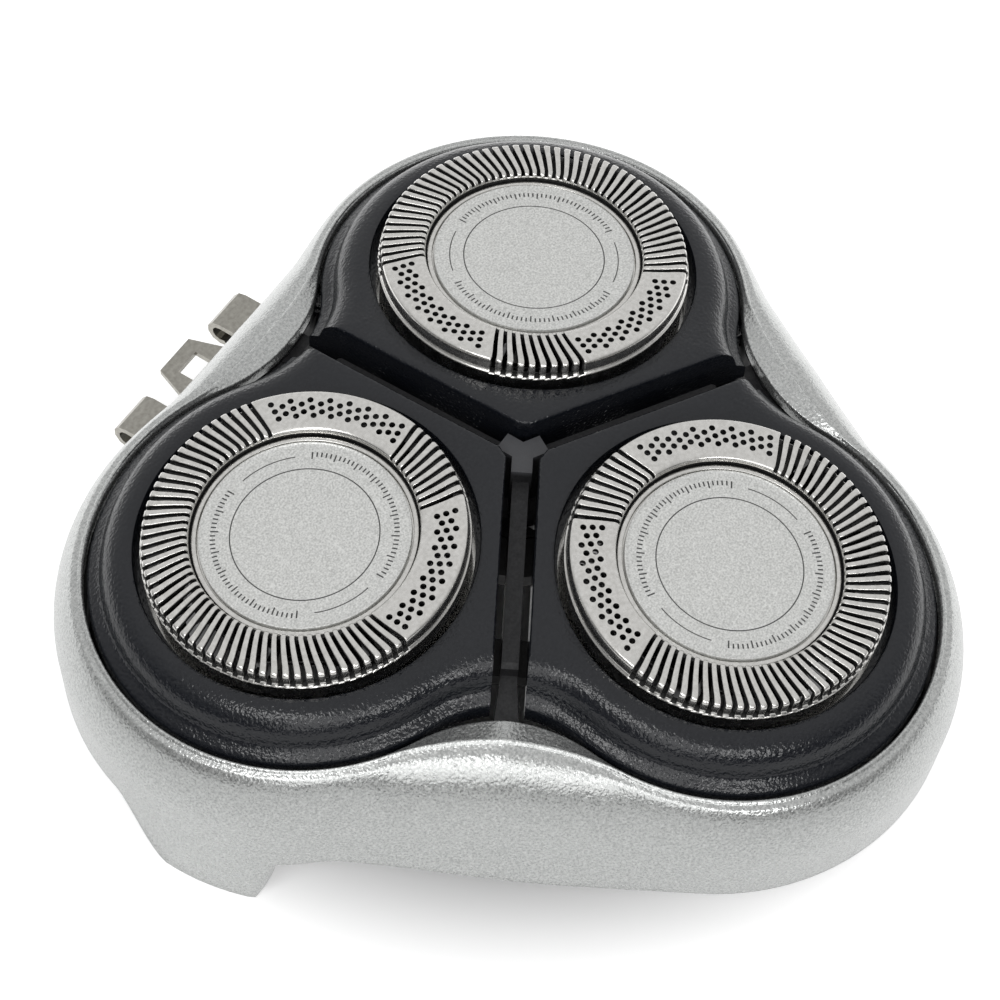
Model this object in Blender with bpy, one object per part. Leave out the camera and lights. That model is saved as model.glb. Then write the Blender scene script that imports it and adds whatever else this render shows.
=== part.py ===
"""Three-head rotary shaving unit: silver shell, black frame, rocking petals, slotted guards and cutters.

The middle axis is vertical. Heads stand at the front, right and left of it, and each leans outwards.
Shapes that belong to the whole unit are worked out around the middle axis, with X towards a head,
and then turned to that head's direction.
"""

import math

import bmesh
import bpy
from mathutils import Matrix, Vector
from mathutils.geometry import delaunay_2d_cdt

MM = 0.001
THIRD = math.radians(120)
LOBE_DIRECTION = math.radians(30)

# Heads
HEADS = {"front": math.radians(270), "right": math.radians(30), "left": math.radians(150)}
NEIGHBOUR_GAP = 6.84 * MM
HEAD_TILT = math.radians(6.1)
HEAD_HEIGHT = 21.7 * MM

# Clearances
REST_GAP = 0.3 * MM
SEAM_GAP = 0.3 * MM
CUTTING_GAP = 0.25 * MM

# Guard
GUARD_RADIUS = 11.45 * MM
GUARD_TOP = 0.55 * MM
GUARD_WALL = 0.35 * MM
GUARD_DEPTH = 6.75 * MM
SHOULDER_WIDTH = 0.45 * MM
SHOULDER_DROP = 1.45 * MM
RING_WIDTH = 3.25 * MM
WELL_TAPER = 0.25 * MM
WELL_DEPTH = 1.0 * MM
FLANGE_REACH = 1.25 * MM
FLANGE_THICKNESS = 0.6 * MM
PIN_RADIUS = 1.2 * MM
PIN_LENGTH = 1.8 * MM
GUARD_SIDES = 30
FLANGE_SIDES = 24
PIN_SIDES = 12

# Slots and holes of the guard
SLOT_PITCHES = 88
INNER_SLOTS = 9
OUTER_SLOTS = 49
SLOT_SHARE = 0.42
SLOT_LEAN = math.radians(3.4)
SLOT_MARGIN = 0.25 * MM
HOLE_RADIUS = 0.28 * MM
HOLE_SIDES = 4
HOLE_COLUMNS = 11
HOLE_COLUMN_PITCH = math.radians(5.3)
HOLE_ROW_PITCH = 0.9 * MM
HOLE_ROWS = (2, 1)

# Disc in the guard's well
DISC_THICKNESS = 0.35 * MM

# Cutter
BLADE_COUNT = 9
BLADE_THICKNESS = 0.35 * MM
BLADE_RAKE = math.radians(25)
BLADE_PLATE_WIDTH = 2.6 * MM
BLADE_PLATE_THICKNESS = 0.5 * MM
BLADE_HEIGHT = 3.4 * MM
LIFTER_WIDTH = 2.3 * MM
LIFTER_THICKNESS = 0.35 * MM
LIFTER_LEAD = math.radians(9)
LIFTER_SHORTFALL = 0.5 * MM
HUB_RADIUS = 3.0 * MM
HUB_WEB_LAP = 1.0 * MM
HUB_WEB_THICKNESS = 0.8 * MM
SOCKET_RADIUS = 3.4 * MM
SOCKET_LENGTH = 3.8 * MM
SOCKET_SLOT = (5.0 * MM, 2.2 * MM, 2.6 * MM)
HUB_SIDES = 12

# Petal
GUARD_PLAY = 0.75 * MM
GUARD_PROUD = 1.65 * MM
PETAL_RING = 3.65 * MM
WAIST_BEYOND_HEADS = 2.23 * MM
PETAL_TIP_WIDTH = 0.9 * MM
LIP_DROP = 2.1 * MM
LIP_SLOPE = 0.65 * MM
LIP_WIDTH = 1.0 * MM
EDGE_ROUND = 0.15 * MM
CROWN_WIDTH = 1.7 * MM
CROWN_CURVE = ((0.15, 0.62), (0.47, 0.24))
SIDE_DROP = 2.95 * MM
FLANK_ROUND = 0.15 * MM
PETAL_COLUMNS = 15
GUIDE_DROP = 2.0 * MM
RELIEF_WIDTH = 1.3 * MM
RELIEF_DEPTH = 1.2 * MM
RELIEF_SPAN = math.radians(150)
RELIEF_COLUMNS = 8
PIVOT_BELOW = 1.6 * MM
CHEEK_WIDTH = 3.2 * MM
CHEEK_THICKNESS = 1.1 * MM
CHEEK_INSET = 0.1 * MM
TRUNNION_RADIUS = 0.8 * MM
TRUNNION_LENGTH = 1.1 * MM
TRUNNION_SIDES = 8

# Rim of the shell's opening
WAIST_SEAM = 1.0 * MM
LIP_THICKNESS = 1.1 * MM
CREST_WIDTH = 0.4 * MM
CREST_WAIST_WIDTH = 1.6 * MM
CREST_RISE = 0.1 * MM

# Outer shell
SHELL_WALL = 1.3 * MM
FLANK_WALL = 1.0 * MM
FLANK_INWARD = (0.8, 0.6)
BELT_REACH = 2.45 * MM
BELT_WAIST_REACH = 4.3 * MM
BELT_HEIGHT = 11.2 * MM
SKIRT_TUCK = 0.2 * MM
SKIRT_FLARE = 0.6 * MM
SKIRT_HEIGHT = 6.2 * MM
SKIRT_WAVE = 1.4 * MM
EAR_START = math.radians(158)
EAR_END = math.radians(180)
EAR_RAMP = math.radians(8)
EAR_FALL = math.radians(3)
WAVE_FALL = math.radians(32)
NOTCH_HALF_ANGLE = math.radians(19)
SHELL_COLUMNS = 48

# Inner frame, with a rib along each groove between two petals
FRAME_WALL = 1.2 * MM
FRAME_GAP = 0.5 * MM
FRAME_SAG = 1.5 * MM
FRAME_COLUMNS = 42
DECK_HEIGHT = 9.2 * MM
DECK_THICKNESS = 1.4 * MM
NECK_INSET = 4.4 * MM
NECK_FLARE = 1.1 * MM
NECK_WALL = 1.3 * MM
RIB_WIDTH = 1.2 * MM
GROOVE_GAP = 0.6 * MM
RIB_DROP = 2.7 * MM
RIB_CLEARANCE = 0.6 * MM
RIB_SHORTFALL = 3.9 * MM
RIB_CHAMFER = 0.35 * MM
CROSSING_WIDTH = 1.5 * MM
CROSSING_REACH = 1.75 * MM
CROSSING_RISE = 1.2 * MM
BRIDGE_DROP = 1.1 * MM
BRIDGE_LAP = 0.8 * MM
BRIDGE_ROOT_WIDTH = 1.0 * MM
LAND_WIDTH = 4.4 * MM
LAND_THICKNESS = 1.5 * MM
LAND_SINK = 0.1 * MM
POST_RADIUS = 1.5 * MM
POST_COLLAR = 2.4 * MM
POST_SIDES = 12
LUG_WIDTH = 18.0 * MM
LUG_LENGTH = 3.5 * MM
LUG_HEIGHT = 4.4 * MM
LUG_RISE = 0.2 * MM
CATCH_WIDTH = 8.0 * MM
CATCH_REACH = 1.2 * MM
CATCH_HEIGHT = 3.0 * MM
CATCH_NOSE = 0.6 * MM
CATCH_FOOT = 1.0 * MM

# Retaining frame and its lock
RETAINER_LAND = 0.45 * MM
RETAINER_WIDTH = 2.1 * MM
RETAINER_THICKNESS = 1.2 * MM
RETAINER_BELOW = 2.5 * MM
RETAINER_LAP = 1.13 * MM
RETAINER_SIDES = 18
TIE_WIDTH = 3.0 * MM
TIE_OFFSET = 3.0 * MM
TIE_SINK = 0.1 * MM
WHEEL_RADIUS = 5.2 * MM
WHEEL_THICKNESS = 1.8 * MM
WHEEL_COLLAR = 1.1 * MM
WHEEL_SIDES = 20
WHEEL_NOTCHES = 6
NOTCH_RADIUS = 0.87 * MM
NOTCH_BEYOND_RIM = 0.31 * MM
NOTCH_SIDES = 6
KEY_LENGTH = 5.6 * MM
KEY_WIDTH = 1.6 * MM
KEY_THICKNESS = 0.9 * MM

# Hinge clip and its screws
CLIP_THICKNESS = 0.5 * MM
CLIP_WIDTH = 15.8 * MM
CLIP_BASE = 5.2 * MM
CLIP_SHOULDER = 0.8 * MM
CLIP_PROUD = 4.7 * MM
HOOK_WIDTH = 3.6 * MM
HOOK_SPACING = 6.1 * MM
HOOK_RADIUS = 1.2 * MM
HOOK_TURN = math.radians(215)
HOOK_STEPS = 6
TAB_ROOT = 6.1 * MM
TAB_TIP = 3.7 * MM
TAB_HOLE = 2.3 * MM
TAB_BRIDGE = 1.2 * MM
SCREW_SPACING = 4.2 * MM
SCREW_RADIUS = 0.8 * MM
SCREW_LENGTH = 2.6 * MM
SCREW_HEAD_RADIUS = 1.5 * MM
SCREW_HEAD_TOP = 1.2 * MM
SCREW_HEAD_HEIGHT = 0.8 * MM
SCREW_SLOT = 0.45 * MM
SCREW_SIDES = 12
DRILL_SIDES = 10

# Values worked out from those above: the heads and their guards
HEAD_SPACING = (2 * GUARD_RADIUS + NEIGHBOUR_GAP) / math.sqrt(3)
LOBE_SPACING = HEAD_SPACING - (GUARD_PROUD - GUARD_TOP + SIDE_DROP) * math.tan(HEAD_TILT)
RING_INNER_RADIUS = GUARD_RADIUS - RING_WIDTH
WELL_RADIUS = RING_INNER_RADIUS - WELL_TAPER
BORE_RADIUS = GUARD_RADIUS + GUARD_PLAY

# The petals
PETAL_RADIUS = BORE_RADIUS + PETAL_RING
PETAL_WAIST = HEAD_SPACING + WAIST_BEYOND_HEADS
PETAL_TOP = GUARD_TOP - GUARD_PROUD
PETAL_BOTTOM = GUARD_TOP - GUARD_DEPTH + FLANGE_THICKNESS + REST_GAP
PIVOT_DROP = PIVOT_BELOW - PETAL_BOTTOM
GROOVE_HALF = RIB_WIDTH / 2 + GROOVE_GAP

# The shell and the frame
OPENING_RADIUS = PETAL_RADIUS + SEAM_GAP
OPENING_WAIST = PETAL_WAIST + WAIST_SEAM
CREST_WAIST = OPENING_WAIST + CREST_WAIST_WIDTH
BELT_RADIUS = OPENING_RADIUS + BELT_REACH
BELT_WAIST = CREST_WAIST + BELT_WAIST_REACH
SKIRT_RADIUS = BELT_RADIUS - SKIRT_TUCK
SKIRT_WAIST = BELT_WAIST + SKIRT_FLARE
NECK_RADIUS = BELT_RADIUS - NECK_INSET
NECK_WAIST = OPENING_WAIST + NECK_FLARE
RIB_END = OPENING_WAIST - RIB_SHORTFALL

# The hinge side, and the middle axis, which stands so that the unit is centred from front to back
LUG_ROOT = OPENING_WAIST + FRAME_WALL / 2
CLIP_REACH = SKIRT_WAIST + CLIP_PROUD
AXIS_Y = (LOBE_SPACING + max(BELT_RADIUS, SKIRT_RADIUS) - CLIP_REACH) / 2

# The retaining frame under the heads
RETAINER_RADIUS = GUARD_RADIUS + RETAINER_LAND
RETAINER_DROP = GUARD_DEPTH - GUARD_TOP + RETAINER_BELOW
RETAINER_HUB = HEAD_SPACING - RETAINER_RADIUS + RETAINER_LAP
RETAINER_PLATE = HEAD_HEIGHT - RETAINER_DROP + (HEAD_SPACING - RETAINER_HUB) * math.tan(HEAD_TILT)


# Scene and object helpers

def clear_scene():
    for old in list(bpy.data.objects):
        bpy.data.objects.remove(old, do_unlink=True)


def make_material(name, colour, roughness, metallic):
    material = bpy.data.materials.new(name)
    material.use_nodes = True
    shader = material.node_tree.nodes["Principled BSDF"]
    shader.inputs["Base Color"].default_value = (*colour, 1.0)
    shader.inputs["Roughness"].default_value = roughness
    shader.inputs["Metallic"].default_value = metallic
    material.diffuse_color = (*colour, 1.0)
    return material


def make_empty(name, location, rotation=(0.0, 0.0, 0.0), parent=None):
    empty = bpy.data.objects.new(name, None)
    empty.location = location
    empty.rotation_euler = rotation
    empty.parent = parent
    bpy.context.collection.objects.link(empty)
    return empty


def make_object(name, bm, parent, material=None, smooth_angle=35.0):
    """Close the bmesh into a named object with its faces pointing out."""
    bmesh.ops.recalc_face_normals(bm, faces=bm.faces)
    mesh = bpy.data.meshes.new(name)
    bm.to_mesh(mesh)
    bm.free()
    mesh.shade_smooth()
    mesh.set_sharp_from_angle(angle=math.radians(smooth_angle))
    if material:
        mesh.materials.append(material)
    made = bpy.data.objects.new(name, mesh)
    made.parent = parent
    bpy.context.collection.objects.link(made)
    return made


def helper_shape(target, bm, operation, name):
    """Add or cut the shape with an exact Boolean; the shape itself stays a hidden guide."""
    helper = make_object(f"{target.name}_{name}", bm, target.parent)
    helper.matrix_local = target.matrix_local
    helper.hide_render = True
    helper.display_type = "WIRE"
    boolean = target.modifiers.new(name, "BOOLEAN")
    boolean.operation = operation
    boolean.solver = "EXACT"
    boolean.object = helper
    return helper


def cut(target, bm, name):
    return helper_shape(target, bm, "DIFFERENCE", name)


def join(target, bm, name):
    return helper_shape(target, bm, "UNION", name)


# Mesh helpers

def loop_of(bm, points):
    return [bm.verts.new(point) for point in points]


def band(bm, lower, upper):
    """Quads between two closed loops with as many points each."""
    for index in range(len(lower)):
        following = (index + 1) % len(lower)
        bm.faces.new((lower[index], lower[following], upper[following], upper[index]))


def stitch(bm, fine, coarse):
    """Triangles between two closed loops around the Z axis, whatever their counts."""
    def bearing(vert):
        return math.atan2(vert.co.y, vert.co.x) % math.tau

    fine = sorted(fine, key=bearing)
    coarse = sorted(coarse, key=bearing)
    fine_turns = [bearing(vert) for vert in fine] + [bearing(fine[0]) + math.tau]
    coarse_turns = [bearing(vert) for vert in coarse] + [bearing(coarse[0]) + math.tau]
    step_fine, step_coarse = 0, 0
    while step_fine < len(fine) or step_coarse < len(coarse):
        here_fine = fine[step_fine % len(fine)]
        here_coarse = coarse[step_coarse % len(coarse)]
        fine_done, coarse_done = step_fine == len(fine), step_coarse == len(coarse)
        if coarse_done or not fine_done and fine_turns[step_fine + 1] <= coarse_turns[step_coarse + 1]:
            step_fine += 1
            bm.faces.new((here_fine, fine[step_fine % len(fine)], here_coarse))
        else:
            step_coarse += 1
            bm.faces.new((here_fine, coarse[step_coarse % len(coarse)], here_coarse))


def polar_loop(bm, radius, z, turns):
    return loop_of(bm, [(radius * math.cos(turn), radius * math.sin(turn), z) for turn in turns])


def even_turns(sides, start=0.0):
    return [start + math.tau * index / sides for index in range(sides)]


def turned(profile, sides, centre=(0.0, 0.0)):
    """Turn a profile of (radius, z) points about Z; its ends lie on the axis or it closes on itself."""
    bm = bmesh.new()
    line = loop_of(bm, [(radius, 0.0, z) for radius, z in profile])
    on_axis = profile[0][0] == 0.0
    pairs = list(zip(line, line[1:])) if on_axis else list(zip(line, line[1:] + line[:1]))
    edges = [bm.edges.new(pair) for pair in pairs]
    bmesh.ops.spin(bm, geom=line + edges, angle=math.tau, steps=sides, axis=(0, 0, 1), cent=(0, 0, 0))
    bmesh.ops.remove_doubles(bm, verts=bm.verts, dist=1e-7)
    bmesh.ops.translate(bm, verts=bm.verts, vec=(centre[0], centre[1], 0.0))
    return bm


def prism(outline, low, high):
    """Extrude a closed plan outline from one height to another."""
    bm = bmesh.new()
    floor = loop_of(bm, [(x, y, low) for x, y in outline])
    roof = loop_of(bm, [(x, y, high) for x, y in outline])
    band(bm, floor, roof)
    bm.faces.new(list(reversed(floor)))
    bm.faces.new(roof)
    return bm


def box(x_range, y_range, z_range):
    outline = [
        (x_range[0], y_range[0]),
        (x_range[1], y_range[0]),
        (x_range[1], y_range[1]),
        (x_range[0], y_range[1]),
    ]
    return prism(outline, *z_range)


def swing(bm, matrix):
    bmesh.ops.transform(bm, matrix=matrix, verts=bm.verts)
    return bm


def turn_z(angle):
    return Matrix.Rotation(angle, 4, "Z")


def upright(bm):
    """Stand a prism up: its outline's plan becomes the plane of Y and Z, and its height runs along X."""
    return swing(bm, Matrix(((0, 0, 1, 0), (1, 0, 0, 0), (0, 1, 0, 0), (0, 0, 0, 1))))


def hole_profile(radius, low, high):
    return [(0.0, low), (radius, low), (radius, high), (0.0, high)]


def merge_shapes(shapes):
    """Put several separate shapes into one bmesh."""
    whole = bmesh.new()
    for shape in shapes:
        mesh = bpy.data.meshes.new("piece")
        shape.to_mesh(mesh)
        shape.free()
        whole.from_mesh(mesh)
        bpy.data.meshes.remove(mesh)
    return whole


# Outlines around the middle axis

def off_lobe(bearing):
    """Angle from the nearest lobe's axis, between -60 and 60 degrees."""
    return (bearing - LOBE_DIRECTION + THIRD / 2) % THIRD - THIRD / 2


def lobed_radius(off, lobe_radius, waist):
    """Reach of an outline of three round lobes joined by tangent arcs that pass the waist."""
    half = LOBE_SPACING / 2
    side = waist - half - lobe_radius
    if abs(side) < 1e-9:
        side = 1e-9
    arc = (lobe_radius**2 - (waist - half) ** 2 - 0.75 * LOBE_SPACING**2) / (2 * side)
    sign = math.copysign(1.0, arc)
    arc_centre = waist + arc
    towards = Vector((arc_centre * math.cos(THIRD / 2), arc_centre * math.sin(THIRD / 2)))
    towards = (towards - Vector((LOBE_SPACING, 0.0))).normalized() * sign
    tangent = Vector((LOBE_SPACING, 0.0)) + lobe_radius * towards
    off = abs(off)
    if off <= math.atan2(tangent.y, tangent.x):
        across = LOBE_SPACING * math.sin(off)
        return LOBE_SPACING * math.cos(off) + math.sqrt(lobe_radius**2 - across**2)
    off_waist = THIRD / 2 - off
    across = arc_centre * math.sin(off_waist)
    return arc_centre * math.cos(off_waist) - sign * math.sqrt(arc**2 - across**2)


def head_plane(reach, off, depth):
    """Height of a point at the given depth below the nearest guard's plane."""
    along = reach * math.cos(off) - HEAD_SPACING
    return HEAD_HEIGHT - depth / math.cos(HEAD_TILT) - along * math.tan(HEAD_TILT)


def opening_at(off):
    """Reach and height of the shell's opening edge."""
    reach = lobed_radius(off, OPENING_RADIUS, OPENING_WAIST)
    return reach, head_plane(reach, off, -PETAL_TOP + SIDE_DROP)


def shell_outside(off, share):
    """Point of the shell's rounded flank, from the crest (0) to the belt (1)."""
    rim = opening_at(off)[1]
    crest = lobed_radius(off, OPENING_RADIUS + CREST_WIDTH, CREST_WAIST)
    belt = lobed_radius(off, BELT_RADIUS, BELT_WAIST)
    crest_height = rim + CREST_RISE
    angle = share * math.pi / 2
    return (
        crest + (belt - crest) * math.sin(angle),
        crest_height + (BELT_HEIGHT - crest_height) * (1 - math.cos(angle)),
    )


def shell_inside(off):
    """Point inside the middle of the shell's flank."""
    reach, height = shell_outside(off, 0.5)
    return reach - FLANK_WALL * FLANK_INWARD[0], height - FLANK_WALL * FLANK_INWARD[1]


def ramp(value, start, end):
    """Smooth step from 0 to 1."""
    share = min(max((value - start) / (end - start), 0.0), 1.0)
    return share * share * (3 - 2 * share)


def skirt_edge(bearing):
    """Height of the skirt's lower edge: two ears at the sides and a notch for the hinge clip."""
    mirrored = bearing if math.cos(bearing) < 0 else math.pi - bearing
    mirrored %= math.tau
    ear = ramp(mirrored, EAR_START, EAR_START + EAR_RAMP) - ramp(mirrored, EAR_END - EAR_FALL, EAR_END)
    wave_top = EAR_END + EAR_RAMP
    wave = ramp(mirrored, EAR_END, wave_top) - ramp(mirrored, wave_top, wave_top + WAVE_FALL)
    notch = 1 - ramp(abs(mirrored - math.pi / 2), NOTCH_HALF_ANGLE, NOTCH_HALF_ANGLE + EAR_FALL)
    notch_rise = lug_low() + REST_GAP - SKIRT_HEIGHT
    return SKIRT_HEIGHT * (1 - ear) + SKIRT_WAVE * wave + max(notch_rise, 0.0) * notch


def ring_solid(bearings, section):
    """Closed ring whose section at each bearing is a closed loop of (reach, z) points."""
    bm = bmesh.new()
    columns = []
    for bearing in bearings:
        points = [(reach * math.cos(bearing), reach * math.sin(bearing), z) for reach, z in section(bearing)]
        columns.append(loop_of(bm, points))
    for index, column in enumerate(columns):
        band(bm, column, columns[(index + 1) % len(columns)])
    return bm


def edge_marks():
    """Bearings where the skirt's lower edge bends, mirrored to both sides."""
    left = [EAR_START + EAR_RAMP * share for share in (0.0, 0.3, 0.7, 1.0)]
    left += [EAR_END - EAR_FALL * share for share in (1.0, 0.6, 0.4, 0.0)]
    left += [EAR_END + EAR_RAMP * share for share in (0.5, 1.0)]
    right = [(math.pi - bearing) % math.tau for bearing in left]
    notch = [NOTCH_HALF_ANGLE + EAR_FALL * share for share in (0.0, 0.5, 1.0)]
    return left + right + [math.pi / 2 + side * offset for offset in notch for side in (-1, 1)]


def shell_bearings():
    """Even bearings, with the edge's own marks in place of those next to them."""
    marks = edge_marks()
    plain = []
    for bearing in even_turns(SHELL_COLUMNS, math.pi / 2):
        nearest = min(abs((bearing - mark + math.pi) % math.tau - math.pi) for mark in marks)
        if nearest > math.pi / SHELL_COLUMNS / 2:
            plain.append(bearing)
    return sorted(bearing % math.tau for bearing in plain + marks)


# Pieces of the shell and the frame

def shell_section(bearing):
    off = off_lobe(bearing)
    opening, rim = opening_at(off)
    inside, inside_height = shell_inside(off)
    belt = lobed_radius(off, BELT_RADIUS, BELT_WAIST)
    skirt = lobed_radius(off, SKIRT_RADIUS, SKIRT_WAIST)
    edge = skirt_edge(bearing)
    land = min(opening + FRAME_WALL + 2 * REST_GAP, inside - REST_GAP)
    flank = [shell_outside(off, share) for share in (0.0, 0.35, 0.7, 1.0)]
    return [
        (opening, rim - LIP_THICKNESS),
        (opening, rim),
        *flank,
        (skirt, edge),
        (skirt - SHELL_WALL, edge),
        (belt - SHELL_WALL, BELT_HEIGHT),
        (inside, inside_height),
        (land, rim - LIP_THICKNESS),
    ]


def build_shell(parent, material):
    bm = ring_solid(shell_bearings(), shell_section)
    return make_object("outer_shell", bm, parent, material, smooth_angle=50)


def frame_section(bearing):
    off = off_lobe(bearing)
    opening, rim = opening_at(off)
    inside, _ = shell_inside(off)
    outer = min(opening + FRAME_WALL, inside - FRAME_GAP)
    neck = lobed_radius(off, NECK_RADIUS, NECK_WAIST)
    top = rim - LIP_THICKNESS - REST_GAP - FRAME_SAG * math.cos(1.5 * off) ** 2
    return [
        (opening, top),
        (opening, DECK_HEIGHT),
        (neck - NECK_WALL, DECK_HEIGHT),
        (neck - NECK_WALL, 0.0),
        (neck, 0.0),
        (neck, DECK_HEIGHT - DECK_THICKNESS),
        (outer, DECK_HEIGHT - DECK_THICKNESS),
        (outer, top),
    ]


def rib_low():
    return RETAINER_PLATE + RIB_CLEARANCE


def ridge(reach, drop):
    """Height in a groove at a drop below the petals' tops."""
    return head_plane(reach, THIRD / 2, -PETAL_TOP + drop)


def lip_underside():
    """Height just under the shell's lip, where a groove meets it."""
    return opening_at(THIRD / 2)[1] - LIP_THICKNESS - 2 * REST_GAP


def groove_loft(stations, bearing):
    """Block laid along a groove, through stations of (reach, width, low, high)."""
    bm = bmesh.new()
    loops = []
    for reach, width, low, high in stations:
        corners = ((-width / 2, low), (width / 2, low), (width / 2, high), (-width / 2, high))
        loops.append(loop_of(bm, [(reach, across, z) for across, z in corners]))
    for near, far in zip(loops, loops[1:]):
        band(bm, near, far)
    bm.faces.new(list(reversed(loops[0])))
    bm.faces.new(loops[-1])
    return swing(bm, turn_z(bearing))


def bridge_shape(bearing):
    """Foot that spreads and falls from the rib's end to the frame's wall."""
    near, low = RIB_END - BRIDGE_LAP, rib_low() + REST_GAP
    spread = 2 * (GROOVE_HALF - REST_GAP)
    return groove_loft([
        (near, BRIDGE_ROOT_WIDTH, low, ridge(near, RIB_DROP + BRIDGE_DROP)),
        (OPENING_WAIST, spread, low, lip_underside()),
        (LUG_ROOT, spread, low, lip_underside()),
    ], bearing)


def land_shape(bearing):
    """Low land between the corners of two petals, along the frame's wall."""
    high = lip_underside() - LAND_SINK
    start = PETAL_WAIST + SEAM_GAP + LAND_SINK
    stations = [(reach, LAND_WIDTH, high - LAND_THICKNESS, high) for reach in (start, LUG_ROOT)]
    return groove_loft(stations, bearing)


def ribs_shape():
    """Ribs along the three grooves, in one block with the higher plateau where they cross."""
    low, high = rib_low(), ridge(0.0, RIB_DROP) + CROSSING_RISE
    shoulder = RIB_END - RIB_CHAMFER
    corners = {
        "arm_low": (CROSSING_REACH, CROSSING_WIDTH / 2, low),
        "arm_high": (CROSSING_REACH, CROSSING_WIDTH / 2, high),
        "root_low": (CROSSING_REACH, RIB_WIDTH / 2, low),
        "root_top": (CROSSING_REACH, RIB_WIDTH / 2, ridge(CROSSING_REACH, RIB_DROP)),
        "shoulder": (shoulder, RIB_WIDTH / 2, ridge(shoulder, RIB_DROP)),
        "end_top": (RIB_END, RIB_WIDTH / 2, ridge(shoulder, RIB_DROP) - RIB_CHAMFER),
        "end_low": (RIB_END, RIB_WIDTH / 2, low),
    }
    bm = bmesh.new()
    arms, crotches = [], []
    for bearing in even_turns(3, math.radians(90)):
        arm = []
        for side in (-1, 1):
            points = [(reach, side * across, z) for reach, across, z in corners.values()]
            arm.append(dict(zip(corners, loop_of(bm, [turn_z(bearing) @ Vector(point) for point in points]))))
        arms.append(arm)
        crotch = turn_z(bearing + THIRD / 2) @ Vector((CROSSING_WIDTH / 2 / math.sin(THIRD / 2), 0.0, 0.0))
        crotches.append(loop_of(bm, [(crotch.x, crotch.y, z) for z in (low, high)]))
    floor, roof = [], []
    for index, (right, left) in enumerate(arms):
        before, after = crotches[index - 1], crotches[index]
        bm.faces.new((before[0], right["arm_low"], right["arm_high"], before[1]))
        bm.faces.new((left["arm_low"], after[0], after[1], left["arm_high"]))
        bm.faces.new((right["arm_low"], right["arm_high"], left["arm_high"], left["arm_low"],
                      left["root_low"], left["root_top"], right["root_top"], right["root_low"]))
        for side in (right, left):
            names = ("root_low", "root_top", "shoulder", "end_top", "end_low")
            bm.faces.new([side[name] for name in names])
        for near, far in (("root_top", "shoulder"), ("shoulder", "end_top"), ("end_top", "end_low")):
            bm.faces.new((right[near], right[far], left[far], left[near]))
        roof += [right["arm_high"], left["arm_high"], after[1]]
        floor += [right["arm_low"], right["root_low"], right["end_low"]]
        floor += [left["end_low"], left["root_low"], left["arm_low"], after[0]]
    bm.faces.new(floor)
    bm.faces.new(roof)
    return bm


def post_profile():
    """Middle post: a collar under the ribs, then the shaft that carries the lock."""
    top = rib_low() + POST_COLLAR / 4
    collar_end = RETAINER_PLATE + REST_GAP
    return [(0.0, top), (POST_COLLAR, top), (POST_COLLAR, collar_end), (POST_RADIUS, collar_end),
            (POST_RADIUS, key_top() - KEY_THICKNESS / 2), (0.0, key_top() - KEY_THICKNESS / 2)]


def wheel_top():
    return RETAINER_PLATE - RETAINER_THICKNESS - REST_GAP


def key_top():
    return wheel_top() - WHEEL_THICKNESS - REST_GAP


def pivot_point():
    """Trunnion axis of a petal, in the plane of its lobe."""
    along = HEAD_SPACING - PIVOT_DROP * math.sin(HEAD_TILT)
    return along, HEAD_HEIGHT - PIVOT_DROP * math.cos(HEAD_TILT)


def crosswise_cylinder(radius, start, end):
    """Cylinder along Y through the pivot point, in the frame of one lobe."""
    along, height = pivot_point()
    bm = turned(hole_profile(radius, start, end), TRUNNION_SIDES)
    swing(bm, Matrix.Rotation(-math.pi / 2, 4, "X"))
    return swing(bm, Matrix.Translation((along, 0.0, height)))


def lug_low():
    return DECK_HEIGHT - DECK_THICKNESS + LUG_RISE


def screw_axis(side):
    return side * SCREW_SPACING, LUG_ROOT + (LUG_LENGTH + FRAME_WALL / 2) / 2


def catch_shape():
    """Snap nose on the front of the neck."""
    root = -(LOBE_SPACING + NECK_RADIUS) + NECK_WALL / 2
    tip = -(LOBE_SPACING + NECK_RADIUS) - CATCH_REACH
    middle = CATCH_FOOT + CATCH_HEIGHT / 2
    outline = [(root, CATCH_FOOT), (tip, middle - CATCH_NOSE / 2), (tip, middle + CATCH_NOSE / 2),
               (root, CATCH_FOOT + CATCH_HEIGHT)]
    return upright(prism(outline, -CATCH_WIDTH / 2, CATCH_WIDTH / 2))


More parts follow.
